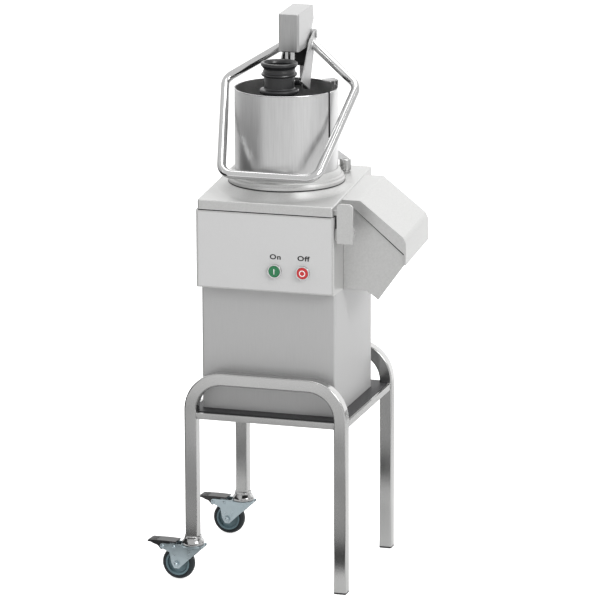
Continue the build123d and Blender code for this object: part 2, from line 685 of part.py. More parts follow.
def collar_flare():
    """The lid's surface drawn up in a hollow curve to the front of the collar."""
    foot = COLLAR_R + 21.5
    level = LID_Z + LID_TILT * (-foot - CASING_Y0)
    top = COLLAR_R - 2.5
    curve = ThreePointArc((top, COLLAR_Z), (COLLAR_R + 5, COLLAR_Z - 11), (foot, level))
    rest = Polyline((foot, level), (foot, level - 3), (top - 10, level - 3), (top - 10, COLLAR_Z),
                    (top, COLLAR_Z))
    return revolve(Plane.XZ * make_face([curve, rest]), axis=Axis.Z)


def feed_head_lid():
    """Tilted lid, round neck and the cover over the chute, as one hollow casting."""
    half = LID_W / 2
    back = CASING_Y1 - 3
    lid = side_profile([(CASING_Y0, CASING_TOP), (CASING_Y0, LID_Z), (back, lid_height(back)),
                        (back, CASING_TOP)],
                       -half, half)
    lid = fillet(lid.edges().filter_by(Axis.Z), 5)
    lid = fillet(lid.faces().sort_by(Axis.Z)[-1].edges(), 3)
    seat = post(COLLAR_R + 5, COLLAR_Z - 6, lid_height(back)) & lid
    under = [(CASING_Y0 + 5, CASING_TOP - 1), (CASING_Y0 + 5, LID_Z - 5), (back - 5, lid_height(back) - 5),
             (back - 5, CASING_TOP - 1)]
    lid = lid - side_profile(under, -half + 5, half - 5) + seat
    lid += post(CHAMBER_R + 18, CASING_TOP, COLLAR_Z) + collar_flare()
    roof_z = COVER_SHOULDER[1]
    outer = [(half - 4, roof_z), COVER_SHOULDER, COVER_NOSE, (COVER_END_X, COVER_NOSE[1] - 13)]
    outer += [(COVER_END_X, COVER_END_Z), (COVER_END_X - COVER_T, COVER_END_Z),
              (COVER_END_X - COVER_T, SKIRT_FAR_Z)]
    outer += [SKIRT_NEAR, (half - 4, SKIRT_NEAR[1])]
    y0 = CHUTE_Y0 - SKIRT_GAP - COVER_T
    cover = front_profile(outer, y0, CHUTE_Y1 + 4, LID_TILT)
    ridges = cover.edges().filter_by(lambda e: abs(e.center().Y - (y0 + CHUTE_Y1 + 4) / 2) < 1)
    cover = fillet(ridges.filter_by(lambda e: e.center().Z > COVER_NOSE[1] and e.center().X > half), 8)
    inner = [(half - 5, roof_z - COVER_T), (COVER_SHOULDER[0] - 1, roof_z - COVER_T)]
    inner += [(COVER_NOSE[0] - 2.5, COVER_NOSE[1] - COVER_T), (COVER_END_X - COVER_T, COVER_NOSE[1] - 15)]
    inner += [(COVER_END_X - COVER_T, COVER_END_Z - 5), (half - 5, COVER_END_Z - 5)]
    rise0 = LID_TILT * (CHUTE_Y0 - SKIRT_GAP - y0)
    cover -= Pos(0, 0, rise0) * front_profile(inner, CHUTE_Y0 - SKIRT_GAP, CHUTE_Y1 - WALL - 4, LID_TILT)
    rise1 = LID_TILT * (CHUTE_Y1 - WALL - 0.5 - y0)
    cover -= Pos(0, 0, rise1) * front_profile(inner, CHUTE_Y1 - WALL - 0.5, CHUTE_Y1 + 6, LID_TILT)
    lid += cover + Rot(0, 0, KNOB_ANGLE) * post(8, KNOB_Z - 9, KNOB_Z, KNOB_REACH, 0)
    lid -= post(CHAMBER_R, CASING_TOP - 1, COLLAR_Z + 1) + post(COLLAR_R + 0.2, COLLAR_Z, COLLAR_Z + 30)
    lid += slab(half - 3, LATCH_X0 + LATCH_W - 6, KEEPER_Y1 - 13, KEEPER_Y1, KEEPER_Z - 10, KEEPER_Z)
    barrel = bar_x(HINGE_R, HINGE_X - HINGE_LEN / 2, HINGE_X + HINGE_LEN / 2, HINGE_Y, HINGE_Z)
    barrel += slab(HINGE_X - HINGE_LEN / 2, HINGE_X + HINGE_LEN / 2, back - 2, HINGE_Y, HINGE_Z - HINGE_R,
                   HINGE_Z + 6)
    lid += barrel + Pos(-2 * HINGE_X, 0, 0) * barrel
    bore = HINGE_PIN_R + RUN_FIT
    lid -= bar_x(bore, HINGE_X - HINGE_LEN / 2 - 1, HINGE_X + HINGE_LEN / 2 + 1, HINGE_Y, HINGE_Z)
    return lid - bar_x(bore, -HINGE_X - HINGE_LEN / 2 - 1, -HINGE_X + HINGE_LEN / 2 + 1, HINGE_Y, HINGE_Z)


def hinge_pin(x):
    """Head hinge pin in the casing's ears."""
    end = HINGE_LEN / 2 + 7.4
    return bar_x(HINGE_PIN_R, x - end, x + end, HINGE_Y, HINGE_Z)


def collar_ring():
    """Stepped clamp ring that seats the hopper on the lid."""
    seat = COLLAR_Z + COLLAR_T
    top = seat + COLLAR_SEAT
    lip = HOPPER_R + 7.5
    profile = [(CHAMBER_R, COLLAR_Z), (COLLAR_R - 1.5, COLLAR_Z), (COLLAR_R, COLLAR_Z + 2),
               (COLLAR_R, seat - 8.5)]
    profile += [(COLLAR_R - 2, seat - 6), (COLLAR_R - 2.6, seat - 4), (COLLAR_R - 2.6, seat - 1.5),
                (COLLAR_R - 4.5, seat)]
    profile += [(lip, seat + 1), (lip - 1, top - 6), (lip - 4, top - 1.5), (lip - 6, top), (HOPPER_R, top)]
    profile += [(HOPPER_R, seat), (CHAMBER_R, seat)]
    return turned(profile)


def hopper():
    """Thin round hopper with a rolled rim and a sight slot open to the rim."""
    seat = COLLAR_Z + COLLAR_T
    inner = HOPPER_R - HOPPER_WALL
    wall = turned([(inner, seat), (HOPPER_R, seat), (HOPPER_R, HOPPER_RIM - 1.5),
                   (HOPPER_R - 0.5, HOPPER_RIM),
                   (inner, HOPPER_RIM)])
    slot = slab(-SLOT_W / 2, SLOT_W / 2, -HOPPER_R - 3, -HOPPER_R + 8, HOPPER_RIM - SLOT_DEPTH,
                HOPPER_RIM + 2)
    return wall - Rot(0, 0, SLOT_ANGLE) * slot


def rim_tab():
    """Stop tab riveted inside the rim: a tongue over the hopper, turned down outside the rim."""
    inner = HOPPER_R - HOPPER_WALL - 0.2
    under = HOPPER_RIM + TAB_LIFT
    half = TAB_W / 2
    tongue = slab(TAB_IN + half, TAB_OUT, -half, half, under, under + 2.5)
    tongue += post(half, under, under + 2.5, TAB_IN + half)
    lip = slab(TAB_OUT - 2.5, TAB_OUT, -half, half, under - 10, under + 2.5)
    leg = ring(inner, inner - 2.5, HOPPER_RIM - 26, under + 1)
    leg &= slab(0, HOPPER_R, -10, 10, HOPPER_RIM - 40, under + 1)
    rivet = bar_x(3, inner - 3.6, inner + 0.15, 0, HOPPER_RIM - 12)
    return Rot(0, 0, TAB_ANGLE) * (tongue + lip + leg + rivet)


def locking_knob():
    """Turned knob that stands on a low boss of the lid at the right rear."""
    top = KNOB_Z + KNOB_H
    profile = [(0, KNOB_Z), (KNOB_R - 1, KNOB_Z), (KNOB_R, KNOB_Z + 1), (KNOB_R, top - 1.5),
               (KNOB_R - 1.5, top), (0, top)]
    return Rot(0, 0, KNOB_ANGLE) * turned(profile, KNOB_REACH)


def hopper_gusset():
    """Triangular rib from the collar and the hopper wall out over the knob."""
    foot = COLLAR_Z + COLLAR_T + COLLAR_SEAT
    over = KNOB_Z + KNOB_H
    rib = [(HOPPER_R + 0.1, foot), (HOPPER_R + 3, foot), (COLLAR_R - 2, over), (KNOB_REACH + 8, over)]
    rib += [(KNOB_REACH + 8, over + 1.5), (HOPPER_R + 0.1, over + 30)]
    return Rot(0, 0, KNOB_ANGLE) * front_profile(rib, -1.5, 1.5)


def lever_column():
    """Rear column with the pivot head for the lever."""
    neck = PIVOT_Z - 16
    foot_z = lid_height(COLUMN_Y0)
    toe = COLUMN_Y1 - 8
    shaft = side_profile([(COLUMN_Y0, foot_z), (toe, lid_height(toe)), (toe, foot_z + 11.65),
                          (COLUMN_Y1, foot_z + 18.65),
                          (COLUMN_Y1, neck), (COLUMN_Y0, neck)],
                         -COLUMN_W / 2, COLUMN_W / 2)
    head = side_profile([(PIVOT_Y, PIVOT_Z - 12), (COLUMN_Y0, neck), (COLUMN_Y1, neck),
                         (COLUMN_Y1, PIVOT_Z + 8),
                         (PIVOT_Y + 4, PIVOT_Z + 11), (PIVOT_Y, PIVOT_Z + 12)], -20, 20)
    head += bar_x(11, -CHEEK_IN + 0.3, CHEEK_IN - 0.3, PIVOT_Y, PIVOT_Z)
    return shaft + head - bar_x(PIVOT_R, -40, 40, PIVOT_Y, PIVOT_Z)


def pivot_pin():
    """Lever pin with a cap at each end."""
    out = CHEEK_IN + CHEEK_T + 0.4
    pin = bar_x(PIVOT_R, -out, out, PIVOT_Y, PIVOT_Z)
    for side in (-1, 1):
        pin += bar_x(7.5, min(side * out, side * (out + 4)), max(side * out, side * (out + 4)), PIVOT_Y,
                     PIVOT_Z)
    return pin


write("feed_head_lid", feed_head_lid())
write("head_hinge_pins", hinge_pin(HINGE_X), hinge_pin(-HINGE_X))
write("collar_ring", collar_ring())
write("hopper", hopper())
write("rim_tab", rim_tab())
write("locking_knob", locking_knob())
write("hopper_gusset", hopper_gusset())
write("lever_column", lever_column())
write("pivot_pin", pivot_pin())


# Lever

def along_lever(x, s):
    """A point on the bail's plane, s below the pivot along the lever."""
    tilt = radians(LEVER_TILT)
    return Vector(x, PIVOT_Y - s * sin(tilt), PIVOT_Z - s * cos(tilt))


def bail_handle():
    """Bent tube bail: two shoulders, two grip corners, ends mitred to the cheeks."""
    slope = SHOULDER_S / SHOULDER_W
    start = CHEEK_IN - 6
    points = [(start, start * slope), (SHOULDER_W, SHOULDER_S), (GRIP_W, GRIP_S)]
    points += [(-x, s) for x, s in reversed(points)]
    path = FilletPolyline(*[along_lever(x, s) for x, s in points], radius=[28, 30, 30, 28])
    section = Circle(BAIL_TUBE_R) - Circle(BAIL_TUBE_R - BAIL_WALL)
    tube = sweep(Plane(origin=path @ 0, z_dir=path % 0) * section, path=path)
    reach = CHEEK_IN + CHEEK_T
    return tube - slab(-reach, reach, -PIVOT_Y, 2 * PIVOT_Y, PIVOT_Z - SHOULDER_S, PIVOT_Z + SHOULDER_S)


def lever_channel():
    """Two tapering cheeks and a slotted back web, turning on the pivot pin."""
    tip = (PIVOT_Y - 104.8, PIVOT_Z - 88.2)
    heel = (PIVOT_Y - 46.5, PIVOT_Z - 115.0)
    outline = [(PIVOT_Y - 9, PIVOT_Z + 9), (PIVOT_Y - 42, PIVOT_Z - 7), tip, heel,
               (PIVOT_Y - 5, PIVOT_Z - 12.4)]
    channel = None
    for x0 in (CHEEK_IN, -CHEEK_IN - CHEEK_T):
        cheek = side_profile(outline, x0, x0 + CHEEK_T)
        cheek += bar_x(12, x0, x0 + CHEEK_T, PIVOT_Y, PIVOT_Z)
        cheek -= bar_x(PIVOT_R + RUN_FIT, x0 - 1, x0 + CHEEK_T + 1, PIVOT_Y, PIVOT_Z)
        channel = cheek if channel is None else channel + cheek
    root = (PIVOT_Y - 11.1, PIVOT_Z - 27.5)
    web = side_profile([root, heel, (heel[0] - 3.2, heel[1] + 1.2), (root[0] - 3.1, root[1] + 1.3)],
                       -CHEEK_IN, CHEEK_IN)
    web -= slab(-ROD_R - 3, ROD_R + 3, PIVOT_Y - 66, PIVOT_Y - 27, PIVOT_Z - 128, PIVOT_Z - 60)
    return channel + web


write("bail_handle", bail_handle())
write("lever_channel", lever_channel())


# Pusher

def pusher_head():
    """Folded head block on top of the rod, cut back to clear the column."""
    outline = [(HEAD_FRONT, HEAD_Z0), (HEAD_FRONT, HEAD_TOP), (PIVOT_Y - 1.5, HEAD_TOP + 5.5),
               (PIVOT_Y + 5, PIVOT_Z + 34), (PIVOT_Y - 44, HEAD_Z0 + 1)]
    head = side_profile(outline, -HEAD_W / 2, HEAD_W / 2)
    head = fillet(head.edges().filter_by(Axis.Z).group_by(Axis.Y)[0], 6)
    head = fillet(head.faces().sort_by(Axis.Z)[-1].edges(), 2)
    head = chamfer(head.faces().sort_by(Axis.Z)[0].edges(), 1.5)
    return head - post(ROD_R, HEAD_Z0 - 5, ROD_TOP, 0, ROD_Y)


def pusher_plate():
    """Dished round plate with stiffening ribs and a guide flange."""
    deck = PLATE_Z + 6
    flange = COLLAR_Z + COLLAR_T + 8
    dish = turned([(0, PLATE_Z), (PLATE_R - 2, PLATE_Z), (PLATE_R, PLATE_Z + 2), (PLATE_R, flange),
                   (GUIDE_R, flange), (GUIDE_R, flange + 4), (PLATE_R - 4, flange + 4),
                   (PLATE_R - 4, deck), (0, deck)])
    boss = post(ROD_R + 7, deck - 1, deck + 24, 0, ROD_Y)
    ribs = slab(-PLATE_R + 6, PLATE_R - 6, ROD_Y - 2, ROD_Y + 2, deck - 1, deck + 16)
    for turn in (-50, 50):
        ribs += Pos(0, ROD_Y, 0) * Rot(0, 0, turn) * slab(-2, 2, 8, 56, deck - 1, deck + 16)
    plate = dish + boss + ribs
    plate -= post(ROD_R, PLATE_Z + 2, deck + 30, 0, ROD_Y)
    return plate - post(TUBE_R, PLATE_Z - 1, deck + 30, 0, TUBE_Y)


def feed_tube():
    """Moulded feed tube with a flared mouth, a gripping flange and a stop ring."""
    top = TUBE_TOP
    stop = [(TUBE_BORE, PLATE_Z), (TUBE_R, PLATE_Z), (TUBE_R, top - 70), (41, top - 69), (43, top - 67),
            (43, top - 62)]
    stop += [(41, top - 59.5), (TUBE_R + 1.5, top - 58), (TUBE_R, top - 56), (TUBE_R, top - 31)]
    grip = [(38, top - 29.5), (39.5, top - 27), (38.5, top - 24.5), (35.5, top - 23.5), (35.5, top - 19),
            (34, top - 17)]
    mouth = [(34, top - 14), (38, top - 9.5), (40.5, top - 6), (40, top - 1.5), (38, top), (34.5, top),
             (31, top - 3)]
    profile = stop + grip + mouth + [(TUBE_BORE, top - 9)]
    return turned(profile, 0, TUBE_Y)


def cross_pin():
    """Pin through the rod that carries the lever's rollers."""
    return bar_x(5, -24.5, 24.5, ROD_Y, ROLLER_Z)


def roller(side):
    """Roller on one end of the cross pin."""
    x0, x1 = sorted((side * 13.0, side * 23.5))
    wheel = bar_x(ROLLER_R, x0, x1, ROD_Y, ROLLER_Z)
    return wheel - bar_x(5, x0 - 1, x1 + 1, ROD_Y, ROLLER_Z)


write("pusher_head", pusher_head())
write("pusher_rod", post(ROD_R, PLATE_Z + 2, ROD_TOP, 0, ROD_Y) - bar_x(5, -30, 30, ROD_Y, ROLLER_Z))
write("pusher_plate", pusher_plate())
write("feed_tube", feed_tube())
write("cross_pin", cross_pin())
write("lever_rollers", roller(-1), roller(1))


# Latch

def latch_bar():
    """Round-topped bar with two eyes behind it for the latch pin."""
    x1 = LATCH_X0 + LATCH_W
    y0 = CASING_Y0 - 4
    bar = slab(LATCH_X0, x1, y0, y0 + LATCH_T, LATCH_Z0, LATCH_Z1)
    bar = fillet(bar.edges().filter_by(Axis.Y).group_by(Axis.Z)[-1], 9)
    bar = fillet(bar.edges().filter_by(Axis.Y).group_by(Axis.Z)[0], 2)
    for x in (LATCH_X0 + 1, x1 - 6):
        eye = side_profile([(y0 + 2, LATCH_PIN_Z - 16), (LATCH_PIN_Y, LATCH_PIN_Z - 8),
                            (LATCH_PIN_Y, LATCH_PIN_Z + 8),
                            (y0 + 2, LATCH_PIN_Z + 24)], x, x + 5)
        eye += bar_x(8, x, x + 5, LATCH_PIN_Y, LATCH_PIN_Z)
        bar += eye - bar_x(LATCH_PIN_R + RUN_FIT, x - 1, x + 6, LATCH_PIN_Y, LATCH_PIN_Z)
    claw = [(y0 + 2, KEEPER_Z + 1), (KEEPER_Y1 + 1, KEEPER_Z + 1), (KEEPER_Y1, KEEPER_Z + 4),
            (y0 + 2, KEEPER_Z + 10)]
    return bar + side_profile(claw, LATCH_X0 + 8, x1 - 10)


def latch_pin():
    """Pin that stands out of the casing's lug and carries the latch."""
    return bar_x(LATCH_PIN_R, LATCH_X0 - 0.5, LATCH_X0 + LATCH_W - 1, LATCH_PIN_Y, LATCH_PIN_Z)


write("latch_bar", latch_bar())
write("latch_pin", latch_pin())
print("pusher stroke", round(PUSHER_STROKE, 2), "ratio m/rad",
      round(PUSHER_STROKE / 1000 / radians(LEVER_LIFT), 5))
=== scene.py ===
# %% [markdown]
# # A vegetable cutting machine, dressed for its picture
# The model of the machine comes in as a fixed frame: every tube, casting and wheel is there
# at its real size. This lesson gives those parts their finishes, adds the small pieces that
# only the eye needs, such as welds, screws, seals and printed words, and sets up the camera
# and a plain white studio. All lengths in Blender are metres.

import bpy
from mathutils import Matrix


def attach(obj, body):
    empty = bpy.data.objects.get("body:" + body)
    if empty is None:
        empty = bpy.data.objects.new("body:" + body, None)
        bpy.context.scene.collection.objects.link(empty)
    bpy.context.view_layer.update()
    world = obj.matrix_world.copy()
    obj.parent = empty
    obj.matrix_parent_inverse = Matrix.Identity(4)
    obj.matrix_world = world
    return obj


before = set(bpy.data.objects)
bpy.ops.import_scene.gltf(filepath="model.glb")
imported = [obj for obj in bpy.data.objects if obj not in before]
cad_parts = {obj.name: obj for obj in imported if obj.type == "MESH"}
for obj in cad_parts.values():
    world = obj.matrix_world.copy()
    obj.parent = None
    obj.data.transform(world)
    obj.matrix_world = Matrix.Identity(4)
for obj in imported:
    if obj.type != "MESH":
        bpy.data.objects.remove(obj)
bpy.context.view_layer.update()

# %% [markdown]
# The workshop drawing of the machine measures from the drive shaft in millimetres, so
# one small function turns its points into Blender's metres, one at a time or many at once.
# AXIS is where the drive shaft stands on the footprint, whose middle is Blender's origin.

# %% From drawing millimetres to Blender metres
import math
import bmesh
import bpy
import numpy as np
from mathutils import Matrix, Vector

MM = 0.001
AXIS = np.array([-14.0, -12.0, 0.0])


def placed(points):
    """Drawing points in mm, moved from the drive axis onto the footprint, in metres."""
    return (np.asarray(points, float) + AXIS) * MM


# %% [markdown]
# ## Finishes
# A finish is a small tree of nodes round one shader. No real surface has a single colour. A
# photograph of the metal could be laid on it, but it would have to be unwrapped onto every
# part and would blur close up, so each tree starts from a noise instead, which lies on the
# object's own coordinates. The noise is stretched by scaling those coordinates: a large
# number makes the pattern change quickly along that axis, and the streaks run square to it.

# %% A noise that lies on the surface
EVEN = (1.0, 1.0, 1.0)


def new_finish(name):
    """A material with only its Principled shader, and its node tree."""
    finish = bpy.data.materials.new(name)
    finish.use_nodes = True
    tree = finish.node_tree
    return finish, tree, tree.nodes["Principled BSDF"]


def noise_on(tree, scale, stretch, detail):
    """A noise texture that reads Object coordinates through a stretching Mapping node."""
    coords = tree.nodes.new("ShaderNodeTexCoord")
    mapping = tree.nodes.new("ShaderNodeMapping")
    mapping.inputs["Scale"].default_value = stretch
    noise = tree.nodes.new("ShaderNodeTexNoise")
    noise.inputs["Scale"].default_value = scale
    noise.inputs["Detail"].default_value = detail
    noise.inputs["Roughness"].default_value = 0.6
    tree.links.new(coords.outputs["Object"], mapping.inputs["Vector"])
    tree.links.new(mapping.outputs["Vector"], noise.inputs["Vector"])
    return noise.outputs["Fac"]


print("noise ready")

# %% [markdown]
# The noise drives three things: the tone by a few percent, the gloss a little more, and the
# tilt of the surface by a hair. Its values crowd round the middle, so both the gloss and the
# tone are read between 0.3 and 0.7, or else they would hardly change.

# %% What the noise drives
NOISE_LOW, NOISE_HIGH = 0.3, 0.7


def gloss_between(tree, fac, low, high):
    """low + (fac - NOISE_LOW) / (NOISE_HIGH - NOISE_LOW) * (high - low), held within both."""
    ranged = tree.nodes.new("ShaderNodeMapRange")
    ranged.inputs["From Min"].default_value = NOISE_LOW
    ranged.inputs["From Max"].default_value = NOISE_HIGH
    ranged.inputs["To Min"].default_value = low
    ranged.inputs["To Max"].default_value = high
    tree.links.new(fac, ranged.inputs["Value"])
    return ranged.outputs["Result"]


def tone_between(tree, fac, dark, light):
    """A colour ramp from dark to light over the noise's middle values."""
    ramp = tree.nodes.new("ShaderNodeValToRGB")
    for stop, place, tone in zip(ramp.color_ramp.elements, (NOISE_LOW, NOISE_HIGH), (dark, light)):
        stop.position = place
        stop.color = (*tone, 1.0)
    tree.links.new(fac, ramp.inputs["Fac"])
    return ramp.outputs["Color"]


def bump_from(tree, fac, shader, strength, depth):
    """Tips the surface by the noise's slope, as if the noise were depth metres high."""
    bump = tree.nodes.new("ShaderNodeBump")
    bump.inputs["Strength"].default_value = strength
    bump.inputs["Distance"].default_value = depth
    tree.links.new(fac, bump.inputs["Height"])
    tree.links.new(bump.outputs["Normal"], shader.inputs["Normal"])


def surface(name, colour, rough, metal, scale=60.0, stretch=EVEN, vary=0.04,
            gloss_vary=0.05, bump=0.1, depth=0.0002, coat=0.0, detail=4.0):
    """One finish: tone = colour * (1 -/+ vary) and roughness = rough -/+ gloss_vary, both
    from one shared noise. What is the same all over is set on the shader's own sockets."""
    finish, tree, shader = new_finish(name)
    fac = noise_on(tree, scale, stretch, detail)
    dark = [c * (1 - vary) for c in colour]
    light = [min(1.0, c * (1 + vary)) for c in colour]
    gloss = gloss_between(tree, fac, rough - gloss_vary, rough + gloss_vary)
    tree.links.new(tone_between(tree, fac, dark, light), shader.inputs["Base Color"])
    tree.links.new(gloss, shader.inputs["Roughness"])
    shader.inputs["Metallic"].default_value = metal
    shader.inputs["Coat Weight"].default_value = coat
    if bump:
        bump_from(tree, fac, shader, bump, depth)
    return finish


def grey(level):
    """A neutral tone."""
    return (level, level, level)


print("noise read from", NOISE_LOW, "to", NOISE_HIGH)

# %% [markdown]
# Stainless sheet is brushed one way, so its streaks run with the brush, and it is dull enough
# to show no picture of the room. The rolled hopper is the brightest of the sheets, and the
# block on the pusher's rod the darkest.

# %% Brushed sheet
BRUSHED_UP = (26.0, 26.0, 1.0)
hopper_steel = surface("hopper_steel", grey(0.51), rough=0.34, metal=1.0, scale=14.0,
                       stretch=BRUSHED_UP, vary=0.06, bump=0.06, depth=0.0001)
head_steel = surface("head_steel", grey(0.37), rough=0.34, metal=0.9, scale=16.0,
                     stretch=BRUSHED_UP, vary=0.1, gloss_vary=0.06, depth=0.0001)
sheet_steel = surface("sheet_steel", grey(0.44), rough=0.5, metal=0.45, scale=20.0,
                      stretch=BRUSHED_UP, vary=0.035, bump=0.08, depth=0.0001)
print("sheet finishes", len(bpy.data.materials))

# %% [markdown]
# Polished tube and bar have almost no grain. The stand's tubes keep soft waves from drawing
# and bending, which is what breaks up their reflections: a wide noise with hardly any fine
# detail, and a bump of a few millimetres over its long slopes. The plated cups of the castors
# are smaller, and so are their waves.

# %% Polished tube and bar
tube_steel = surface("tube_steel", (0.41, 0.41, 0.406), rough=0.19, metal=1.0, scale=11.0,
                     vary=0.06, gloss_vary=0.04, bump=0.25, depth=0.003, detail=0.5)
bright_steel = surface("bright_steel", grey(0.52), rough=0.13, metal=1.0, scale=9.0,
                       gloss_vary=0.03, bump=0.0)
cup_chrome = surface("cup_chrome", grey(0.4), rough=0.14, metal=1.0, scale=30.0,
                     vary=0.08, gloss_vary=0.04, depth=0.0005)
print("with tubes", len(bpy.data.materials))

# %% [markdown]
# The castings are blasted, which leaves a fine even grain and a satin look half way between
# paint and metal. Turned parts carry rings round their axis, the blades are ground along
# their edge, and the pressed fork of a castor has the blue cast of zinc.

# %% Castings, turned parts and plate
TURNED_RINGS = (1.0, 1.0, 26.0)
GROUND_EDGE = (20.0, 1.0, 1.0)
turned_steel = surface("turned_steel", grey(0.55), rough=0.28, metal=1.0, scale=40.0,
                       stretch=TURNED_RINGS, vary=0.05, gloss_vary=0.06, depth=0.0001)
cast_alloy = surface("cast_alloy", (0.49, 0.49, 0.485), rough=0.44, metal=0.62, scale=260.0,
                     vary=0.07, gloss_vary=0.06, bump=0.35, depth=0.0004)
zinc_plate = surface("zinc_plate", (0.4, 0.47, 0.5), rough=0.3, metal=0.9, scale=40.0,
                     vary=0.06, bump=0.04, depth=0.0001)
blade_steel = surface("blade_steel", grey(0.7), rough=0.16, metal=1.0, scale=50.0,
                      stretch=GROUND_EDGE, bump=0.06, depth=0.0001)
dull_plate = surface("dull_plate", (0.4, 0.41, 0.42), rough=0.5, metal=0.7, scale=45.0,
                     vary=0.08, gloss_vary=0.08, depth=0.0001)
print("all metals", len(bpy.data.materials))

# %% [markdown]
# Paint, rubber and moulded plastic are not metals: their tone is their own, and a faint
# orange-peel bump makes the highlight break softly. The push buttons have a thin clear coat.
# Rubber and ink reflect less than plastic, so their specular level is lowered.

# %% Paints and plastics
motor_paint = surface("motor_paint", (0.05, 0.06, 0.075), rough=0.42, metal=0.0, scale=300.0,
                      vary=0.1, bump=0.15)
shelf_paint = surface("shelf_paint", (0.016, 0.016, 0.018), rough=0.5, metal=0.0, scale=300.0,
                      vary=0.15)
black_moulding = surface("black_moulding", (0.009, 0.009, 0.01), rough=0.3, metal=0.0,
                         scale=260.0, vary=0.15, gloss_vary=0.02, bump=0.02)
grey_moulding = surface("grey_moulding", (0.27, 0.275, 0.28), rough=0.42, metal=0.0,
                        scale=260.0, vary=0.06, bump=0.08)
pale_moulding = surface("pale_moulding", (0.62, 0.62, 0.6), rough=0.4, metal=0.0,
                        scale=240.0, bump=0.06)
wheel_moulding = surface("wheel_moulding", (0.12, 0.19, 0.215), rough=0.4, metal=0.0,
                         scale=260.0, vary=0.06, bump=0.06)
start_green = surface("start_green", (0.003, 0.15, 0.05), rough=0.3, metal=0.0, scale=200.0,
                      vary=0.06, bump=0.03, coat=0.15)
stop_red = surface("stop_red", (0.5, 0.01, 0.014), rough=0.3, metal=0.0, scale=200.0,
                   vary=0.06, bump=0.03, coat=0.15)
mark_white = surface("mark_white", grey(0.86), rough=0.4, metal=0.0, scale=200.0,
                     vary=0.02, bump=0.02)
panel_grey = surface("panel_grey", grey(0.56), rough=0.5, metal=0.15, scale=500.0,
                     vary=0.02, bump=0.05, depth=0.0001)
print("with plastics", len(bpy.data.materials))

# %% Rubbers and ink
tyre_rubber = surface("tyre_rubber", (0.01, 0.015, 0.018), rough=0.5, metal=0.0, scale=220.0,
                      vary=0.2)
belt_rubber = surface("belt_rubber", grey(0.02), rough=0.7, metal=0.0, scale=400.0,
                      vary=0.2, bump=0.2)
# A dark rubber for the head's real seal, also used as painted shade under the cover, the collar and the
# latch.
rubber_and_painted_shade = surface("rubber_and_painted_shade", grey(0.02), rough=0.6, metal=0.0, scale=300.0,
                      vary=0.15, bump=0.08)
# Black ink for the printed words, also used as painted shade in the screws' cross cuts.
ink_and_painted_shade = surface("ink_and_painted_shade", grey(0.02), rough=0.45, metal=0.0, scale=200.0,
                      vary=0.1, bump=0.02)
for dark_finish in (tyre_rubber, belt_rubber, rubber_and_painted_shade, ink_and_painted_shade):
    shader = dark_finish.node_tree.nodes["Principled BSDF"]
    shader.inputs["Specular IOR Level"].default_value = 0.3
print("with rubbers", len(bpy.data.materials))

# %% [markdown]
# The hopper's inner wall and the inside of the lever's channel carry painted light and shade:
# a flat painted grey on the hopper's inner wall stands in for the light inside it, and the
# channel's inside is painted near black as painted shade in its hollow. Each belongs to one
# sheet with a polished outside, so the tone has to change with the place on one part: by the
# distance from the drive axis in the hopper, and by the distance from the middle plane in the channel.

# %% Painted light and shade inside a polished sheet
def vector_node(tree, kind, first, second=None):
    """One Vector Math node that works on a link and, where given, three fixed numbers."""
    node = tree.nodes.new("ShaderNodeVectorMath")
    node.operation = kind
    tree.links.new(first, node.inputs[0])
    if second is not None:
        node.inputs[1].default_value = second
    return node


def painted_inside_tone(name, outside, reach_mm, keep_axes, inside_tone):
    """A copy of the outside finish whose tone is a flat painted grey where the distance is below
    reach, as painted light and shade. The distance is sqrt(x^2 + y^2) from the drive axis, over the axes
    that are kept."""
    finish = outside.copy()
    finish.name = name
    tree = finish.node_tree
    shader = tree.nodes["Principled BSDF"]
    polished = shader.inputs["Base Color"].links[0].from_socket
    coords = tree.nodes.new("ShaderNodeTexCoord")
    shifted = vector_node(tree, "SUBTRACT", coords.outputs["Object"], tuple(AXIS * MM))
    kept = vector_node(tree, "MULTIPLY", shifted.outputs["Vector"], keep_axes)
    distance = vector_node(tree, "LENGTH", kept.outputs["Vector"])
    above = tree.nodes.new("ShaderNodeMath")
    above.operation = "GREATER_THAN"
    above.inputs[1].default_value = reach_mm * MM
    tone = tree.nodes.new("ShaderNodeMix")
    tone.data_type = "RGBA"
    # The painted light and shade: a flat grey wherever the distance is below reach.
    tone.inputs["A"].default_value = (*grey(inside_tone), 1.0)
    tree.links.new(distance.outputs["Value"], above.inputs[0])
    tree.links.new(above.outputs["Value"], tone.inputs["Factor"])
    tree.links.new(polished, tone.inputs["B"])
    tree.links.new(tone.outputs["Result"], shader.inputs["Base Color"])
    return finish


HOPPER_MID_WALL = 112.6
CHEEK_MID_WALL = 26.6
# The hopper's inner wall: a flat painted grey, standing in for the light inside the hopper.
hopper_painted_inside = painted_inside_tone("hopper_painted_inside", hopper_steel, HOPPER_MID_WALL, (1.0, 1.0, 0.0), inside_tone=0.62)
# The channel's inside: painted near black, as painted shade in its hollow.
channel_painted_shade = painted_inside_tone("channel_painted_shade", sheet_steel, CHEEK_MID_WALL, (1.0, 0.0, 0.0), inside_tone=0.04)
print("finishes", len(bpy.data.materials))

# %% [markdown]
# ## Dressing the model's own parts
# The model's meshes stay as they are, but each gets its finish. The list is written the way
# a workshop would order the work, one finish with all of its parts, and is then turned round
# so that a part's name finds its finish.

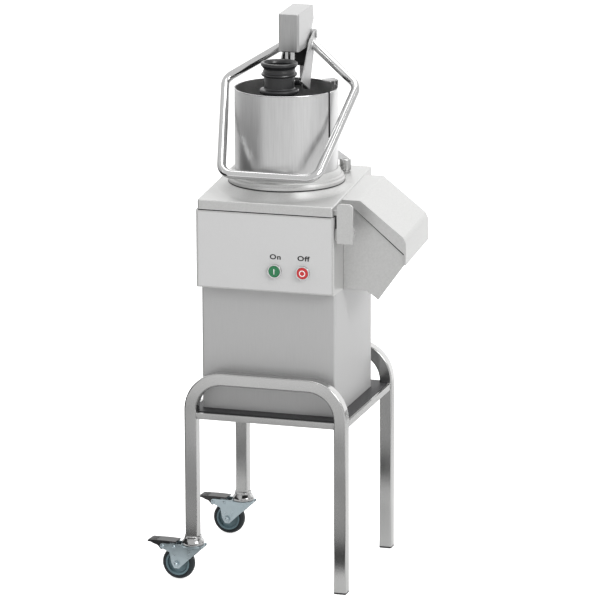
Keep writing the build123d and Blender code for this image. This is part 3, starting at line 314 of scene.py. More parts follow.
# %% Which finish goes on which part
PARTS_IN = {
    tube_steel: ["front_frame_tube", "rear_frame_tube", "side_rails", "cross_rails",
                 "locking_knob"],
    sheet_steel: ["motor_housing", "rim_tab", "lever_column"],
    cast_alloy: ["upper_casing", "feed_head_lid", "collar_ring", "latch_bar",
                 "discharge_chute", "bearing_housing"],
    bright_steel: ["bail_handle", "pusher_rod", "pivot_pin", "cross_pin", "head_hinge_pins",
                   "latch_pin", "button_bezels"],
    turned_steel: ["drive_shaft", "motor_shaft", "drive_pulley", "driven_pulley",
                   "shaft_bearings"],
    zinc_plate: ["front_castor_fork", "rear_castor_fork", "front_castor_axle",
                 "rear_castor_axle"],
    black_moulding: ["front_castor_pedal", "rear_castor_pedal", "feed_tube", "cable_gland",
                     "switch_blocks", "disc_hub", "leg_plugs", "lever_rollers"],
    hopper_painted_inside: ["hopper"],
    hopper_steel: ["hopper_gusset"],
    channel_painted_shade: ["lever_channel"],
    head_steel: ["pusher_head"],
    cup_chrome: ["castor_sockets"],
    blade_steel: ["slicing_disc", "disc_blades"],
    dull_plate: ["base_plate", "motor_plate"],
    motor_paint: ["motor_body"],
    shelf_paint: ["shelf_plate"],
    panel_grey: ["control_panel"],
    wheel_moulding: ["front_castor_hub", "rear_castor_hub"],
    tyre_rubber: ["front_castor_tyre", "rear_castor_tyre"],
    belt_rubber: ["drive_belt"],
    pale_moulding: ["ejector_disc"],
    grey_moulding: ["pusher_plate"],
    start_green: ["on_button"],
    stop_red: ["off_button"],
}
FINISH_OF = {part: finish for finish, parts in PARTS_IN.items() for part in parts}
print("parts with a finish", len(FINISH_OF))

# %% [markdown]
# No real edge is perfectly sharp: it always carries a thin line of light, and a wider one on
# a casting. Rounding every edge in the drawing would make the model heavy, so modifiers do it
# for the picture alone. A Weld joins the loose triangles of a part, a Decimate makes one face
# of each flat area, and a narrow Bevel then breaks the edges. A Weighted Normal lets the
# large faces decide the shading, so that flat sheet looks flat.

# %% Dress them
THIN_EDGE = 0.35
SOFT_EDGE = {"feed_head_lid": 2.0, "upper_casing": 1.2, "discharge_chute": 1.0,
             "pusher_head": 0.8, "latch_bar": 1.2, "motor_housing": 0.5, "lever_column": 1.0}


def dress(name, node):
    """The finish of one part, and the modifiers that join, flatten, bevel and shade it."""
    node.data.materials.clear()
    node.data.materials.append(FINISH_OF[name])
    node.data.polygons.foreach_set("use_smooth", [True] * len(node.data.polygons))
    weld = node.modifiers.new("join", "WELD")
    weld.merge_threshold = 0.01 * MM
    flat = node.modifiers.new("flat", "DECIMATE")
    flat.decimate_type = "DISSOLVE"
    flat.angle_limit = math.radians(0.3)
    edge = node.modifiers.new("edge", "BEVEL")
    edge.width = SOFT_EDGE.get(name, THIN_EDGE) * MM
    edge.segments = 2
    edge.limit_method = "ANGLE"
    edge.angle_limit = math.radians(32)
    edge.harden_normals = True
    edge.use_clamp_overlap = True
    even = node.modifiers.new("even", "WEIGHTED_NORMAL")
    even.weight = 80


for name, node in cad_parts.items():
    dress(name, node)
print("dressed", len(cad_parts), "parts")

# %% [markdown]
# ## The camera
# The photograph was taken from far off with a long lens, a little to the machine's right
# and a little above its middle. A camera can be told to track a point, but then it stays
# level, and the photograph is rolled a little. So the camera's three directions are worked
# out from two angles and the roll, and become the columns of its matrix.

# %% Place the camera
TURN = math.radians(17.15)
TILT = math.radians(13.77)
ROLL = math.radians(0.17)
DISTANCE = 9.373
AIM = placed((26.3, 12.0, 610.3))
LENS = 253.9

flat_ahead = np.array([-math.sin(TURN), math.cos(TURN), 0.0])
forward = flat_ahead * math.cos(TILT) - np.array([0.0, 0.0, math.sin(TILT)])
level_right = np.array([math.cos(TURN), math.sin(TURN), 0.0])
level_up = np.cross(level_right, forward)
rolled_right = level_right * math.cos(ROLL) - level_up * math.sin(ROLL)
rolled_up = level_up * math.cos(ROLL) + level_right * math.sin(ROLL)

lens_data = bpy.data.cameras.new("camera")
lens_data.lens = LENS
lens_data.sensor_width = 36.0
lens_data.clip_end = 100.0
camera = bpy.data.objects.new("camera", lens_data)
bpy.context.scene.collection.objects.link(camera)
place = Matrix(np.column_stack([rolled_right, rolled_up, -forward]).tolist()).to_4x4()
place.translation = AIM - forward * DISTANCE
camera.matrix_world = place
bpy.context.scene.camera = camera
print("camera at", np.round(place.translation, 2))

# %% [markdown]
# ## The studio
# The light that the world sheds on the machine is grey, and a little stronger from above,
# from the right and from behind, so that its forms stay readable. The camera sees plain white
# past the machine, and so do mirrors and glass. The kind of ray tells the two apart.

# %% The world
def math_node(tree, kind, first, second):
    """One Math node; each of its two inputs is a number or a link."""
    node = tree.nodes.new("ShaderNodeMath")
    node.operation = kind
    for socket, value in zip(node.inputs, (first, second)):
        if isinstance(value, float):
            socket.default_value = value
        else:
            tree.links.new(value, socket)
    return node.outputs["Value"]


def shed_level(tree, middle, slopes):
    """middle + x * slope_x + y * slope_y + z * slope_z over the direction of the sky."""
    coords = tree.nodes.new("ShaderNodeTexCoord")
    split = tree.nodes.new("ShaderNodeSeparateXYZ")
    tree.links.new(coords.outputs["Generated"], split.inputs["Vector"])
    total = middle
    for part, slope in zip(split.outputs, slopes):
        total = math_node(tree, "ADD", math_node(tree, "MULTIPLY", part, slope), total)
    return total


SKY_MIDDLE = 0.62
SKY_SLOPES = (0.22, 0.1, 0.22)
world = bpy.data.worlds.new("studio")
bpy.context.scene.world = world
world.use_nodes = True
sky = world.node_tree
rays = sky.nodes.new("ShaderNodeLightPath").outputs
seen = math_node(sky, "ADD", rays["Is Camera Ray"], rays["Is Glossy Ray"])
seen = math_node(sky, "ADD", seen, rays["Is Transmission Ray"])
strength = sky.nodes.new("ShaderNodeMix")
strength.data_type = "FLOAT"
sky.links.new(seen, strength.inputs["Factor"])
sky.links.new(shed_level(sky, SKY_MIDDLE, SKY_SLOPES), strength.inputs["A"])
strength.inputs["B"].default_value = 1.0
background = sky.nodes["Background"]
background.inputs["Color"].default_value = (1.0, 1.0, 1.0, 1.0)
sky.links.new(strength.outputs["Result"], background.inputs["Strength"])
print("world nodes", len(sky.nodes))

# %% [markdown]
# Three lamps shape the forms: the strongest stands to the right in front, one hangs overhead,
# and a weak one opens up the shade on the left. A sun or a small lamp would draw hard shadows
# and small glints. These are squares two metres wide or more, so both come out soft.

# %% The lamps
def soft_lamp(name, place_mm, aim_mm, size, power):
    """A square area lamp at one drawing point, turned to look at another."""
    data = bpy.data.lights.new(name, "AREA")
    data.shape = "SQUARE"
    data.size = size
    data.energy = power
    lamp = bpy.data.objects.new(name, data)
    bpy.context.scene.collection.objects.link(lamp)
    gaze = Vector(placed(aim_mm) - placed(place_mm))
    lamp.rotation_euler = gaze.to_track_quat("-Z", "Y").to_euler()
    lamp.location = placed(place_mm)


soft_lamp("key_lamp", (3400, -2200, 3200), (0, 0, 800), size=2.2, power=120)
soft_lamp("top_lamp", (300, 300, 4200), (0, 0, 900), size=2.6, power=60)
soft_lamp("left_lamp", (-3600, -1500, 1800), (0, 0, 700), size=2.0, power=25)
print("lamps", len(bpy.data.lights))

# %% [markdown]
# Polished steel shows what stands round it, and in an all-white room it would look like
# paper. A product photographer therefore sets up cards outside the picture: black and grey
# ones give the dark streaks on the tubes and the hopper, and lighter ones the bright faces.
# Each card here glows with its own tone and is seen by reflections alone, so that it casts
# no shadow and sheds no light on the floor.

# %% The cards
def card_finish(name, strength):
    """A card's tone: it gives off this much light and reflects none."""
    finish, _, shader = new_finish(name)
    shader.inputs["Base Color"].default_value = (0.0, 0.0, 0.0, 1.0)
    shader.inputs["Specular IOR Level"].default_value = 0.0
    shader.inputs["Emission Color"].default_value = (1.0, 1.0, 1.0, 1.0)
    shader.inputs["Emission Strength"].default_value = strength
    return finish


def staged(name, corners, finish):
    """One four-cornered sheet that belongs to the studio and not to the machine."""
    mesh = bpy.data.meshes.new(name)
    mesh.from_pydata([tuple(c) for c in corners], [], [(0, 1, 2, 3)])
    mesh.materials.append(finish)
    sheet = bpy.data.objects.new(name, mesh)
    bpy.context.scene.collection.objects.link(sheet)
    return sheet


def card(name, place_mm, aim_mm, width, height, tone):
    """A rectangle in mm: corner = place -/+ width / 2 * across -/+ height / 2 * rise, where
    across is level and rise is square to it and to the line from place to aim."""
    start = Vector(placed(place_mm))
    gaze = (Vector(placed(aim_mm)) - start).normalized()
    across = gaze.cross(Vector((0, 0, 1))).normalized()
    rise = across.cross(gaze)
    corners = []
    for sx, sz in ((-1, -1), (1, -1), (1, 1), (-1, 1)):
        corners.append(start + across * sx * width / 2 * MM + rise * sz * height / 2 * MM)
    flag = staged(name, corners, tone)
    flag.visible_camera = False
    flag.visible_diffuse = False
    flag.visible_shadow = False
    flag.visible_transmission = False


CARD_GLOW = {"black": 0.03, "dim": 0.58, "grey": 0.72, "lift": 1.5, "light": 1.7}
card_tone = {tone: card_finish(f"card_{tone}", glow) for tone, glow in CARD_GLOW.items()}
print("card tones", len(card_tone))

# %% [markdown]
# The cards on the left darken the left flanks of the tubes and of the hopper. The others
# stand where the camera's own line of sight goes once a flat face has turned it back: the
# tops and the right sides of the machine mirror what is behind it, and the fronts mirror the
# floor before it, because the camera looks down a little.

# %% Set up the cards
card("flag_left", (-1050, -350, 400), (0, -100, 400), 1500, 800, card_tone["black"])
card("flag_left_high", (-1500, -300, 1250), (0, -100, 1150), 1500, 900, card_tone["grey"])
card("flag_right", (850, 1000, 150), (0, 0, 150), 500, 300, card_tone["black"])
card("light_back", (250, 1700, 1600), (250, 0, 1600), 3000, 1500, card_tone["light"])
card("light_back_low", (750, 1650, 420), (750, 0, 420), 1300, 840, card_tone["light"])
card("flag_low", (0, -420, 14), (0, -400, 900), 2200, 160, card_tone["black"])
card("floor_near", (-250, -980, 10), (-250, -960, 1500), 2400, 1300, card_tone["dim"])
card("floor_far", (-500, -2230, 12), (-500, -2200, 1500), 2800, 1150, card_tone["lift"])
print("cards set up")

# %% [markdown]
# The floor is white to the camera and keeps the machine's shadow. Its paint alone would look
# grey, so it also glows: strongly for the rays that come straight from the camera, and less
# in reflections, where a bright floor would wash out the steel.

# %% The floor
FLOOR_SEEN = 0.8
FLOOR_MIRRORED = 0.28
FLOOR_PAINT = 0.7
FLOOR_HALF = 30.0

floor_finish, floor_tree, floor_shader = new_finish("floor_white")
floor_shader.inputs["Base Color"].default_value = (*grey(FLOOR_PAINT), 1.0)
floor_shader.inputs["Roughness"].default_value = 0.9
floor_shader.inputs["Specular IOR Level"].default_value = 0.0
rays = floor_tree.nodes.new("ShaderNodeLightPath").outputs
mirrored = math_node(floor_tree, "ADD", rays["Is Glossy Ray"], rays["Is Transmission Ray"])
mirrored = math_node(floor_tree, "MULTIPLY", mirrored, FLOOR_MIRRORED)
straight = math_node(floor_tree, "MULTIPLY", rays["Is Camera Ray"], FLOOR_SEEN)
glow = floor_tree.nodes.new("ShaderNodeEmission")
floor_tree.links.new(math_node(floor_tree, "ADD", straight, mirrored), glow.inputs["Strength"])
both = floor_tree.nodes.new("ShaderNodeAddShader")
floor_tree.links.new(floor_shader.outputs["BSDF"], both.inputs[0])
floor_tree.links.new(glow.outputs["Emission"], both.inputs[1])
floor_end = floor_tree.nodes["Material Output"]
floor_tree.links.new(both.outputs["Shader"], floor_end.inputs["Surface"])
floor_corners = [(sx * FLOOR_HALF, sy * FLOOR_HALF, 0) for sx, sy in ((-1, -1), (1, -1), (1, 1), (-1, 1))]
staged("floor", floor_corners, floor_finish)
bpy.context.scene.view_settings.view_transform = "Standard"
print("studio ready")

# %% [markdown]
# ## Words and marks on the panel
# The two push buttons carry the usual signs, a bar for on and a ring for off, and the words
# stand above them. A picture laid on the panel would blur close up, so Blender's own font
# makes the words: each is set as text, made a mesh and moved onto the panel, as ink with a
# hair of thickness. Every new piece goes through one function, which turns its faces outwards
# and ties it to the body that carries it.

# %% The words
PANEL_FACE = -163.0
INK_PROUD = 0.15
WORD_X = {"On": 24.5, "Off": 88.0}
WORD_Z = 742.5
WORD_HEIGHT = 15.0
LETTER_FATTEN = 0.45
LETTER_SPACING = 1.12
LETTER_WIDEN = 1.25
INK_HALF = 0.1


def settle(name, mesh, body, finish, smooth=True):
    """Turn the faces outwards, give the finish and let the piece ride on its body."""
    work = bmesh.new()
    work.from_mesh(mesh)
    bmesh.ops.remove_doubles(work, verts=work.verts, dist=1e-6)
    bmesh.ops.recalc_face_normals(work, faces=work.faces)
    work.to_mesh(mesh)
    work.free()
    mesh.polygons.foreach_set("use_smooth", [smooth] * len(mesh.polygons))
    piece = bpy.data.objects.new(name, mesh)
    bpy.context.scene.collection.objects.link(piece)
    mesh.materials.append(finish)
    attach(piece, body)
    return piece


def word(text):
    """Point (a, b, c) of the flat text goes to (a * widen, -c, b) on the panel's face."""
    curve = bpy.data.curves.new("word", "FONT")
    curve.body = text
    curve.align_x = "CENTER"
    curve.size = WORD_HEIGHT * MM
    curve.extrude = INK_HALF * MM
    curve.offset = LETTER_FATTEN * MM
    curve.space_character = LETTER_SPACING
    source = bpy.data.objects.new("word", curve)
    bpy.context.scene.collection.objects.link(source)
    bpy.context.view_layer.update()
    mesh = bpy.data.meshes.new_from_object(source)
    bpy.data.objects.remove(source)
    co = np.empty(len(mesh.vertices) * 3)
    mesh.vertices.foreach_get("co", co)
    upright = co.reshape(-1, 3)[:, [0, 2, 1]] * [LETTER_WIDEN, -1.0, 1.0]
    upright += placed((WORD_X[text], PANEL_FACE - INK_PROUD, WORD_Z))
    mesh.vertices.foreach_set("co", upright.ravel())
    mesh.update()
    return settle(f"word_{text.lower()}", mesh, "stand", ink_and_painted_shade, smooth=False)


for text in WORD_X:
    ink = word(text)
    print(ink.name, "has", len(ink.data.vertices), "points")

# %% [markdown]
# Nearly every other small piece is a surface over two parameters: rows of points in two
# directions, joined by four-cornered faces. Joining the last row to the first closes one
# direction, as round a ring, and a face over each end row closes the other. The marks are
# inlays that stand a quarter of a millimetre proud of the caps. The bar is the plainest grid,
# with only two rows, its front and its back.

# %% A grid of points becomes the bar
CAP_FACE = -171.0
MARK_PROUD = 0.25
MARK_DEPTH = 0.5
MARK_Z = 716.0
BAR_X, BAR_WIDTH, BAR_HEIGHT = 23.5, 1.8, 12.0


def grid_piece(name, points, body, finish, wrap_u=False, wrap_v=False, caps=False):
    """Points shaped (u, v, 3): the quad between neighbours i, j is
    (i, j), (i+1, j), (i+1, j+1), (i, j+1), with the last row joined to the first if wrapped."""
    nu, nv = points.shape[:2]
    i = np.arange(nu if wrap_u else nu - 1)[:, None]
    j = np.arange(nv if wrap_v else nv - 1)[None, :]
    i2 = (i + 1) % nu
    j2 = (j + 1) % nv
    quads = np.stack([i * nv + j, i2 * nv + j, i2 * nv + j2, i * nv + j2], -1).reshape(-1, 4)
    faces = quads.tolist()
    if caps:
        faces.append(list(range(nv))[::-1])
        faces.append([(nu - 1) * nv + k for k in range(nv)])
    mesh = bpy.data.meshes.new(name)
    mesh.from_pydata(points.reshape(-1, 3).tolist(), [], faces)
    mesh.update()
    return settle(name, mesh, body, finish)


mark_front = CAP_FACE - MARK_PROUD
bar_x = BAR_X + np.array([-1, 1, 1, -1]) * BAR_WIDTH / 2
bar_z = MARK_Z + np.array([-1, -1, 1, 1]) * BAR_HEIGHT / 2
bar_rows = [np.stack([bar_x, np.full(4, y), bar_z], -1) for y in (mark_front, mark_front + MARK_DEPTH)]
bar = grid_piece("mark_on", placed(bar_rows), "start_button", mark_white, wrap_v=True, caps=True)
print("bar of", len(bar.data.polygons), "faces")

# %% [markdown]
# The ring is a profile turned about an axis. Here the profile is a small rectangle that
# closes on itself. The screws and the rivets will use the same function with domed profiles.

# %% A turned profile becomes the ring
RING_X, RING_INNER_R, RING_OUTER_R = 87.5, 5.0, 7.0


def turned(name, profile, centre, axis, body, finish, steps=64):
    """Each profile point (r, h) goes to centre + h * axis + r * (cos t * side + sin t * up),
    with t right round the axis. Profiles start and end on the axis or close on themselves."""
    axis = np.array(axis, float) / np.linalg.norm(axis)
    side = np.cross(axis, [0.0, 0.0, 1.0] if abs(axis[2]) < 0.9 else [1.0, 0.0, 0.0])
    side /= np.linalg.norm(side)
    up = np.cross(axis, side)
    t = np.linspace(0, 2 * np.pi, steps, endpoint=False)[:, None, None]
    r = np.array([p[0] for p in profile])[None, :, None] * MM
    h = np.array([p[1] for p in profile])[None, :, None] * MM
    points = np.asarray(centre) + h * axis + r * (np.cos(t) * side + np.sin(t) * up)
    closed = profile[0][0] > 0
    return grid_piece(name, points, body, finish, wrap_u=True, wrap_v=closed)


ring_profile = [(RING_INNER_R, 0.0), (RING_OUTER_R, 0.0), (RING_OUTER_R, MARK_DEPTH),
                (RING_INNER_R, MARK_DEPTH)]
ring_centre = placed((RING_X, mark_front, MARK_Z))
ring = turned("mark_off", ring_profile, ring_centre, (0, 1, 0), "stop_button", mark_white)
print("ring of", len(ring.data.polygons), "faces")

# %% [markdown]
# ## Seals and welds
# Seals and welds are beads: a circle carried along a path. Blender's curves can do that too,
# but they twist the circle at tight corners, so the bead is worked out here, with its circle
# set square to the path at every point. Most paths are rectangles with round corners, which
# get a function of their own.

# %% A bead along a path
def bead(name, path, radius, body, finish, steps=10, closed=False):
    """Point = path(s) + radius * (cos t * normal + sin t * binormal), where the normal is the
    part of a fixed helper direction that is square to the path. The path is in metres."""
    path = np.asarray(path, float)
    ahead = np.roll(path, -1, 0) - np.roll(path, 1, 0)
    if not closed:
        ahead[0] = path[1] - path[0]
        ahead[-1] = path[-1] - path[-2]
    ahead /= np.linalg.norm(ahead, axis=1)[:, None]
    helper = np.array([0.31, 0.27, 0.91])
    normal = helper - ahead * (ahead @ helper)[:, None]
    normal /= np.linalg.norm(normal, axis=1)[:, None]
    binormal = np.cross(ahead, normal)
    t = np.linspace(0, 2 * np.pi, steps, endpoint=False)[None, :, None]
    circle = np.cos(t) * normal[:, None] + np.sin(t) * binormal[:, None]
    points = path[:, None] + radius * MM * circle
    return grid_piece(name, points, body, finish, wrap_u=closed, wrap_v=True, caps=not closed)


def rounded_loop(centre, across, rise, width, height, corner, steps=9):
    """A rectangle of width by height with quarter circles of radius corner at its corners:
    corner centre + corner * (cos t, sin t), t running a quarter turn at each."""
    centre, across, rise = (np.asarray(v, float) for v in (centre, across, rise))
    t = np.linspace(0, np.pi / 2, steps)
    rows = []
    for k, (sx, sy) in enumerate(((1, 1), (-1, 1), (-1, -1), (1, -1))):
        turn = t + k * np.pi / 2
        u = sx * (width / 2 - corner) + corner * np.cos(turn)
        v = sy * (height / 2 - corner) + corner * np.sin(turn)
        rows.append(centre + (u[:, None] * across + v[:, None] * rise) * MM)
    return np.concatenate(rows)


print("beads and loops ready")

# %% [markdown]
# A rubber seal lies in the joint between the feed head and the casing, and shows as a thin
# dark line all round. Painted on, the line would look flat from close by. As a bead in the
# joint it has its own roundness and shade.

# %% The head's seal
UP, EAST, NORTH = (0, 0, 1), (1, 0, 0), (0, 1, 0)
SEAL_MIDDLE = (0.0, -9.5, 842.0)
SEAL_WIDTH, SEAL_DEPTH, SEAL_CORNER, SEAL_R = 307.4, 304.4, 5.0, 1.2
seal_path = rounded_loop(placed(SEAL_MIDDLE), EAST, NORTH, SEAL_WIDTH, SEAL_DEPTH, SEAL_CORNER)
bead("head_seal", seal_path, SEAL_R, "stand", rubber_and_painted_shade, closed=True)
print("seal of", len(seal_path), "points")

# %% [markdown]
# The feed head's cover hangs over the chute's front wall, and the gap under its edge lies in
# shade. A thin dark bead follows that edge down the wall as painted shade.

# %% The painted shade under the cover
COVER_SHADE_LINE = np.array([(184.5, 848.0), (213.0, 822.6), (293.0, 753.6)])
COVER_SHADE_Y = -90.4
COVER_SHADE_R = 0.9
corner_at = np.arange(len(COVER_SHADE_LINE))
cover_shade_s = np.linspace(0, corner_at[-1], 41)
cover_shade_x = np.interp(cover_shade_s, corner_at, COVER_SHADE_LINE[:, 0])
cover_shade_z = np.interp(cover_shade_s, corner_at, COVER_SHADE_LINE[:, 1])
cover_shade_path = np.stack([cover_shade_x, np.full_like(cover_shade_x, COVER_SHADE_Y), cover_shade_z], -1)
# A thin dark bead under the cover's edge: painted shade.
bead("cover_painted_shade", placed(cover_shade_path), COVER_SHADE_R, "feed_head", rubber_and_painted_shade, steps=8)
print("lip of", len(cover_shade_path), "points")

# %% [markdown]
# The casting is drawn up to the front of the collar in a long soft curve, and no edge shows
# where it begins. A bevel has one radius all the way, but this curve is deepest in front and
# dies out at the sides, so it is a surface of two parameters: the angle round the drive axis,
# and the way out from the collar's foot to the flat of the lid. It rises with the square of
# what is left of that way, and its outer edge sinks just under the lid, so that it leaves the
# lid without a crease.

# %% The blend in front of the collar
LID_FRONT_Y, LID_FRONT_Z, LID_SLOPE = -162.0, 864.0, 0.1
FOOT_R, FOOT_Z = 127.8, 883.6
BLEND_FROM, BLEND_TO = 172.0, 368.0
BLEND_R = 158.0
BLEND_HALF_WIDTH = 150.5
EDGE_SINK = 0.35
BLEND_UNDER = 2.5


def lid_level(y):
    """The tilted lid's height at a distance back: front height + slope * (y - front)."""
    return LID_FRONT_Z + LID_SLOPE * (y - LID_FRONT_Y)


t = np.radians(np.linspace(BLEND_FROM, BLEND_TO, 120))[:, None]
out = np.linspace(0.0, 1.0, 22)[None, :]
reach = np.minimum(BLEND_R, BLEND_HALF_WIDTH / np.maximum(np.abs(np.cos(t)), 1e-6))
r = FOOT_R + (reach - FOOT_R) * out
foot_rise = np.maximum(FOOT_Z - lid_level(FOOT_R * np.sin(t)), 0.0)
blend_z = lid_level(r * np.sin(t)) + foot_rise * (1 - out) ** 2 - EDGE_SINK * out ** 4
upper = np.stack([r * np.cos(t), r * np.sin(t), blend_z], -1)
under = upper[:, ::-1].copy()
under[..., 2] = lid_level(under[..., 1]) - BLEND_UNDER
section = placed(np.concatenate([upper, under], 1))
grid_piece("collar_blend", section, "feed_head", cast_alloy, wrap_v=True, caps=True)
print("blend rises", round(float(foot_rise.max()), 1), "mm at the front")

# %% [markdown]
# Where the hopper's collar stands on the blend, a thin dark bead goes right round: painted shade
# for the shadow gap under the collar. On the casing's side just behind the latch, a thin dark patch is
# the latch's painted shadow.

# %% Painted shade under the collar and behind the latch
JOINT_R, JOINT_Z, JOINT_BEAD = 128.4, 884.2, 0.6
LATCH_SHADOW_Y, LATCH_SHADOW_Z = -136.0, 816.0
LATCH_SHADOW_INNER_X, LATCH_SHADOW_OUTER_X = 156.8, 158.8
LATCH_SHADOW_WIDTH, LATCH_SHADOW_HEIGHT, LATCH_SHADOW_CORNER = 30.0, 52.0, 4.0


def circle_path(radius, z, start=0.0, end=2 * np.pi, steps=120, endpoint=False):
    """(radius * cos t, radius * sin t, z) round the drive axis, in metres."""
    t = np.linspace(start, end, steps, endpoint=endpoint)
    return placed(np.stack([radius * np.cos(t), radius * np.sin(t), np.full_like(t, z)], -1))


# A thin dark bead at the collar's foot: painted shade for the shadow gap under the collar.
bead("collar_painted_shade", circle_path(JOINT_R, JOINT_Z), JOINT_BEAD, "feed_head", rubber_and_painted_shade,
     steps=8, closed=True)
# A thin dark patch on the casing behind the latch: the latch's painted shadow.
latch_shadow_rows = []
for x in (LATCH_SHADOW_INNER_X, LATCH_SHADOW_OUTER_X):
    latch_shadow_middle = placed((x, LATCH_SHADOW_Y, LATCH_SHADOW_Z))
    latch_shadow_rows.append(rounded_loop(latch_shadow_middle, NORTH, UP, LATCH_SHADOW_WIDTH, LATCH_SHADOW_HEIGHT, LATCH_SHADOW_CORNER))
grid_piece("latch_painted_shadow", np.array(latch_shadow_rows), "stand", rubber_and_painted_shade, wrap_v=True, caps=True)
print("joint and pad in place")

# %% [markdown]
# The stand is welded, and a weld is a low rounded bead along the joint. Two rails meet each
# leg, one across the machine and one from front to back, and each is welded all round its
# end. The eight welds are alike, so one function makes them, and a loop finds their places.

# %% The welds of the stand
LEG_X = {"left": -167.5, "right": 175.5}
LEG_Y = {"front": -169.0, "rear": 193.0}
RAIL_Z = 381.0
LEG_TO_WELD = 14.2
WELD_WIDTH, WELD_HEIGHT, WELD_CORNER, WELD_R = 24.4, 14.4, 1.5, 1.1


def rail_weld(name, x, y, across):
    """A bead round the end of a rail, in the plane of the leg's face."""
    middle = placed((x, y, RAIL_Z))
    loop = rounded_loop(middle, across, UP, WELD_WIDTH, WELD_HEIGHT, WELD_CORNER, steps=4)
    bead(name, loop, WELD_R, "stand", tube_steel, steps=8, closed=True)


for end, leg_y in LEG_Y.items():
    for hand, leg_x in LEG_X.items():
        to_middle_x = LEG_TO_WELD if hand == "left" else -LEG_TO_WELD
        to_middle_y = LEG_TO_WELD if end == "front" else -LEG_TO_WELD
        rail_weld(f"weld_cross_{end}_{hand}", leg_x + to_middle_x, leg_y, NORTH)
        rail_weld(f"weld_side_{end}_{hand}", leg_x, leg_y + to_middle_y, EAST)
print("stand welded")

# %% [markdown]
# The bail's two ends meet the cheeks of the lever at a slant, so each weld is an ellipse:
# the tube's circle, slid along the tube until it reaches the cheek's face.

# %% The welds of the bail
PIVOT_Y, PIVOT_Z = 126.0, 1188.0
LEVER_TILT = math.radians(43.8)
CHEEK_FACE = 29.9
BAIL_CORNER_X, BAIL_CORNER_S = 151.0, 129.0
BAIL_WELD_R, BAIL_BEAD = 10.3, 1.3


def on_lever(x, s):
    """The point s below the pivot in the bail's plane, in drawing millimetres."""
    return np.array([x, PIVOT_Y - s * math.sin(LEVER_TILT), PIVOT_Z - s * math.cos(LEVER_TILT)])


for hand, side in (("left", -1), ("right", 1)):
    start = on_lever(side * CHEEK_FACE, CHEEK_FACE * BAIL_CORNER_S / BAIL_CORNER_X)
    along = on_lever(side * BAIL_CORNER_X, BAIL_CORNER_S) - start
    along /= np.linalg.norm(along)
    normal = np.cross(along, EAST)
    normal /= np.linalg.norm(normal)
    binormal = np.cross(along, normal)
    t = np.linspace(0, 2 * np.pi, 28, endpoint=False)[:, None]
    circle = start + BAIL_WELD_R * (np.cos(t) * normal + np.sin(t) * binormal)
    slid = circle + along * ((start[0] - circle[:, :1]) / along[0])
    bead(f"weld_bail_{hand}", placed(slid), BAIL_BEAD, "lever", hopper_steel, steps=8, closed=True)
print("bail welded")

# %% [markdown]
# ## The hopper's rim and seam
# The sheet of the hopper is rolled over at the top into a thin bead, which catches a bright
# line of light. A torus would be the quickest ring, but this one stops at the sight slot, so
# it is a bead along an open arc. A flat weld runs down the back where the sheet's two ends
# meet.

# %% Rim and seam
HOPPER_R = 113.5
RIM_Z = 1091.0
SLOT_AT = math.radians(-17.0)
SLOT_HALF = 4.2
RIM_IN, RIM_DOWN, RIM_BEAD = 0.5, 0.6, 1.3
SEAM_X, SEAM_Y, SEAM_FOOT, SEAM_BEAD = -40.0, 106.2, 917.0, 0.7

gap = SLOT_HALF / HOPPER_R
rim = circle_path(HOPPER_R - RIM_IN, RIM_Z - RIM_DOWN, SLOT_AT + gap, SLOT_AT + 2 * np.pi - gap,
                  steps=160, endpoint=True)
bead("hopper_rim_bead", rim, RIM_BEAD, "feed_head", bright_steel, steps=12)
seam_z = np.linspace(SEAM_FOOT, RIM_Z - 3.0, 24)
seam = np.stack([np.full_like(seam_z, SEAM_X), np.full_like(seam_z, SEAM_Y), seam_z], -1)
bead("hopper_seam", placed(seam), SEAM_BEAD, "feed_head", hopper_steel, steps=8)
print("hopper finished")

# %% [markdown]
# ## Screws
# Ten small screws hold the housing's back. One screw is a low domed head with a cross cut
# into it. The head is one profile turned about its axis. The cross could be cut out with a
# Boolean, but that leaves ragged faces on a small dome, so it is two thin dark bars let into
# it: painted shade that stands for the shade inside the cut.

# %% One screw
SCREW = [(0.0, 2.2), (1.2, 2.1), (2.6, 1.6), (3.5, 0.8), (3.8, 0.0), (3.8, -0.6), (0.0, -0.6)]
CUT_HALF_LENGTH, CUT_HALF_WIDTH, CUT_LOW, CUT_DEEP = 2.2, 0.4, 1.7, 0.6


def screw(name, place_mm):
    """A domed head that looks out of the back, with a cross of two dark bars as painted shade in the cut.
    """
    centre = placed(place_mm)
    turned(name, SCREW, centre, NORTH, "stand", bright_steel, steps=20)
    outward, side = np.array(NORTH, float), np.array(EAST, float)
    other = np.cross(outward, side)
    for k, (a, b) in enumerate(((side, other), (other, side))):
        bar = []
        for u, v in ((-1, -1), (1, -1), (1, 1), (-1, 1)):
            bar.append((a * u * CUT_HALF_LENGTH + b * v * CUT_HALF_WIDTH + outward * CUT_LOW) * MM)
        rows = centre + np.array([bar, [corner + outward * CUT_DEEP * MM for corner in bar]])
        # Each bar is painted shade for the inside of the cut.
        grid_piece(f"{name}_cut_shade_{k}", rows, "stand", ink_and_painted_shade, wrap_v=True, caps=True)


print("screw heads", 2 * max(r for r, h in SCREW), "mm across")

# %% Where they go
BACK_Y = 143.0
ROW_SCREWS = [(x, z) for x in (-140.0, 0.0, 140.0) for z in (402.0, 656.0)]
EDGE_SCREWS = [(x, z) for x in (-147.0, 147.0) for z in (500.0, 580.0)]
for count, (x, z) in enumerate(ROW_SCREWS + EDGE_SCREWS):
    screw(f"screw_back_{count}", (x, BACK_Y, z))
print("screws", len(ROW_SCREWS + EDGE_SCREWS))

# %% [markdown]
# ## Castor details
# Each castor has a crimped ring under its plated cup and two rolled ones on the cup, round
# rivets in its cheeks and raised ribs across its pedal, so that a shoe doesn't slip. They are
# worked out about the swivel axis, with the wheel trailing along -X, and then turned to the
# castor's own heading, because that keeps their measures plain: only one function knows how
# the castor happens to stand.

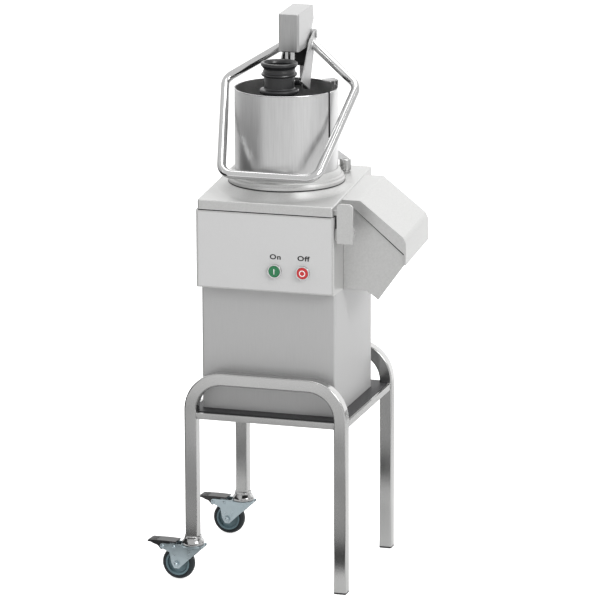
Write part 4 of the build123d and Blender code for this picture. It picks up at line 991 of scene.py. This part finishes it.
# %% The castor's own drawing
YAW = math.radians(-3.0)
CHEEK_AXIS = np.array([-math.sin(YAW), math.cos(YAW), 0.0])


def castor_point(end, x, y, z):
    """A point of the castor's own drawing, turned by its heading and moved to its leg."""
    px = LEG_X["left"] + x * math.cos(YAW) - y * math.sin(YAW)
    py = LEG_Y[end] + x * math.sin(YAW) + y * math.cos(YAW)
    return placed((px, py, z))


print("castors head", round(math.degrees(YAW), 1), "degrees off the left")

# %% Rings, rivets and ribs
RINGS = [(22.4, 83.1, 0.6), (19.0, 98.6, 0.7), (18.9, 102.6, 0.6)]
RIVETS = [(-67.0, 75.5, 16.5), (-40.0, 76.0, 16.5), (-34.0, 37.5, 21.5)]
RIVET = [(0.0, 2.0), (2.0, 1.7), (3.8, 0.6), (4.0, -0.3), (0.0, -0.3)]
RIB_X, RIB_Z, RIB_HALF, RIB_BEAD = -100.0, 87.3, 12.0, 0.7
RIB_PITCH, RIB_CLIMB = 4.0, 0.25


def dress_castor(end):
    """Rings (radius, z, bead), rivets (x, z, cheek's face) and five ribs of one castor."""
    turn = np.linspace(0, 2 * np.pi, 48, endpoint=False)
    for k, (radius, z, thick) in enumerate(RINGS):
        loop = [castor_point(end, radius * math.cos(a), radius * math.sin(a), z) for a in turn]
        body = f"{end}_castor" if k == 0 else "stand"
        bead(f"{end}_castor_ring_{k}", loop, thick, body, bright_steel, steps=8, closed=True)
    for k, (x, z, face) in enumerate(RIVETS):
        for letter, side in (("a", -1), ("b", 1)):
            turned(f"{end}_castor_rivet_{k}_{letter}", RIVET, castor_point(end, x, side * face, z),
                   side * CHEEK_AXIS, f"{end}_castor", zinc_plate, steps=20)
    for k in range(5):
        x = RIB_X + RIB_PITCH * k
        z = RIB_Z + RIB_CLIMB * k
        rib = [castor_point(end, x, y, z) for y in np.linspace(-RIB_HALF, RIB_HALF, 7)]
        bead(f"{end}_pedal_rib_{k}", rib, RIB_BEAD, f"{end}_brake", black_moulding, steps=8)


for end in LEG_Y:
    dress_castor(end)
print("castors dressed")
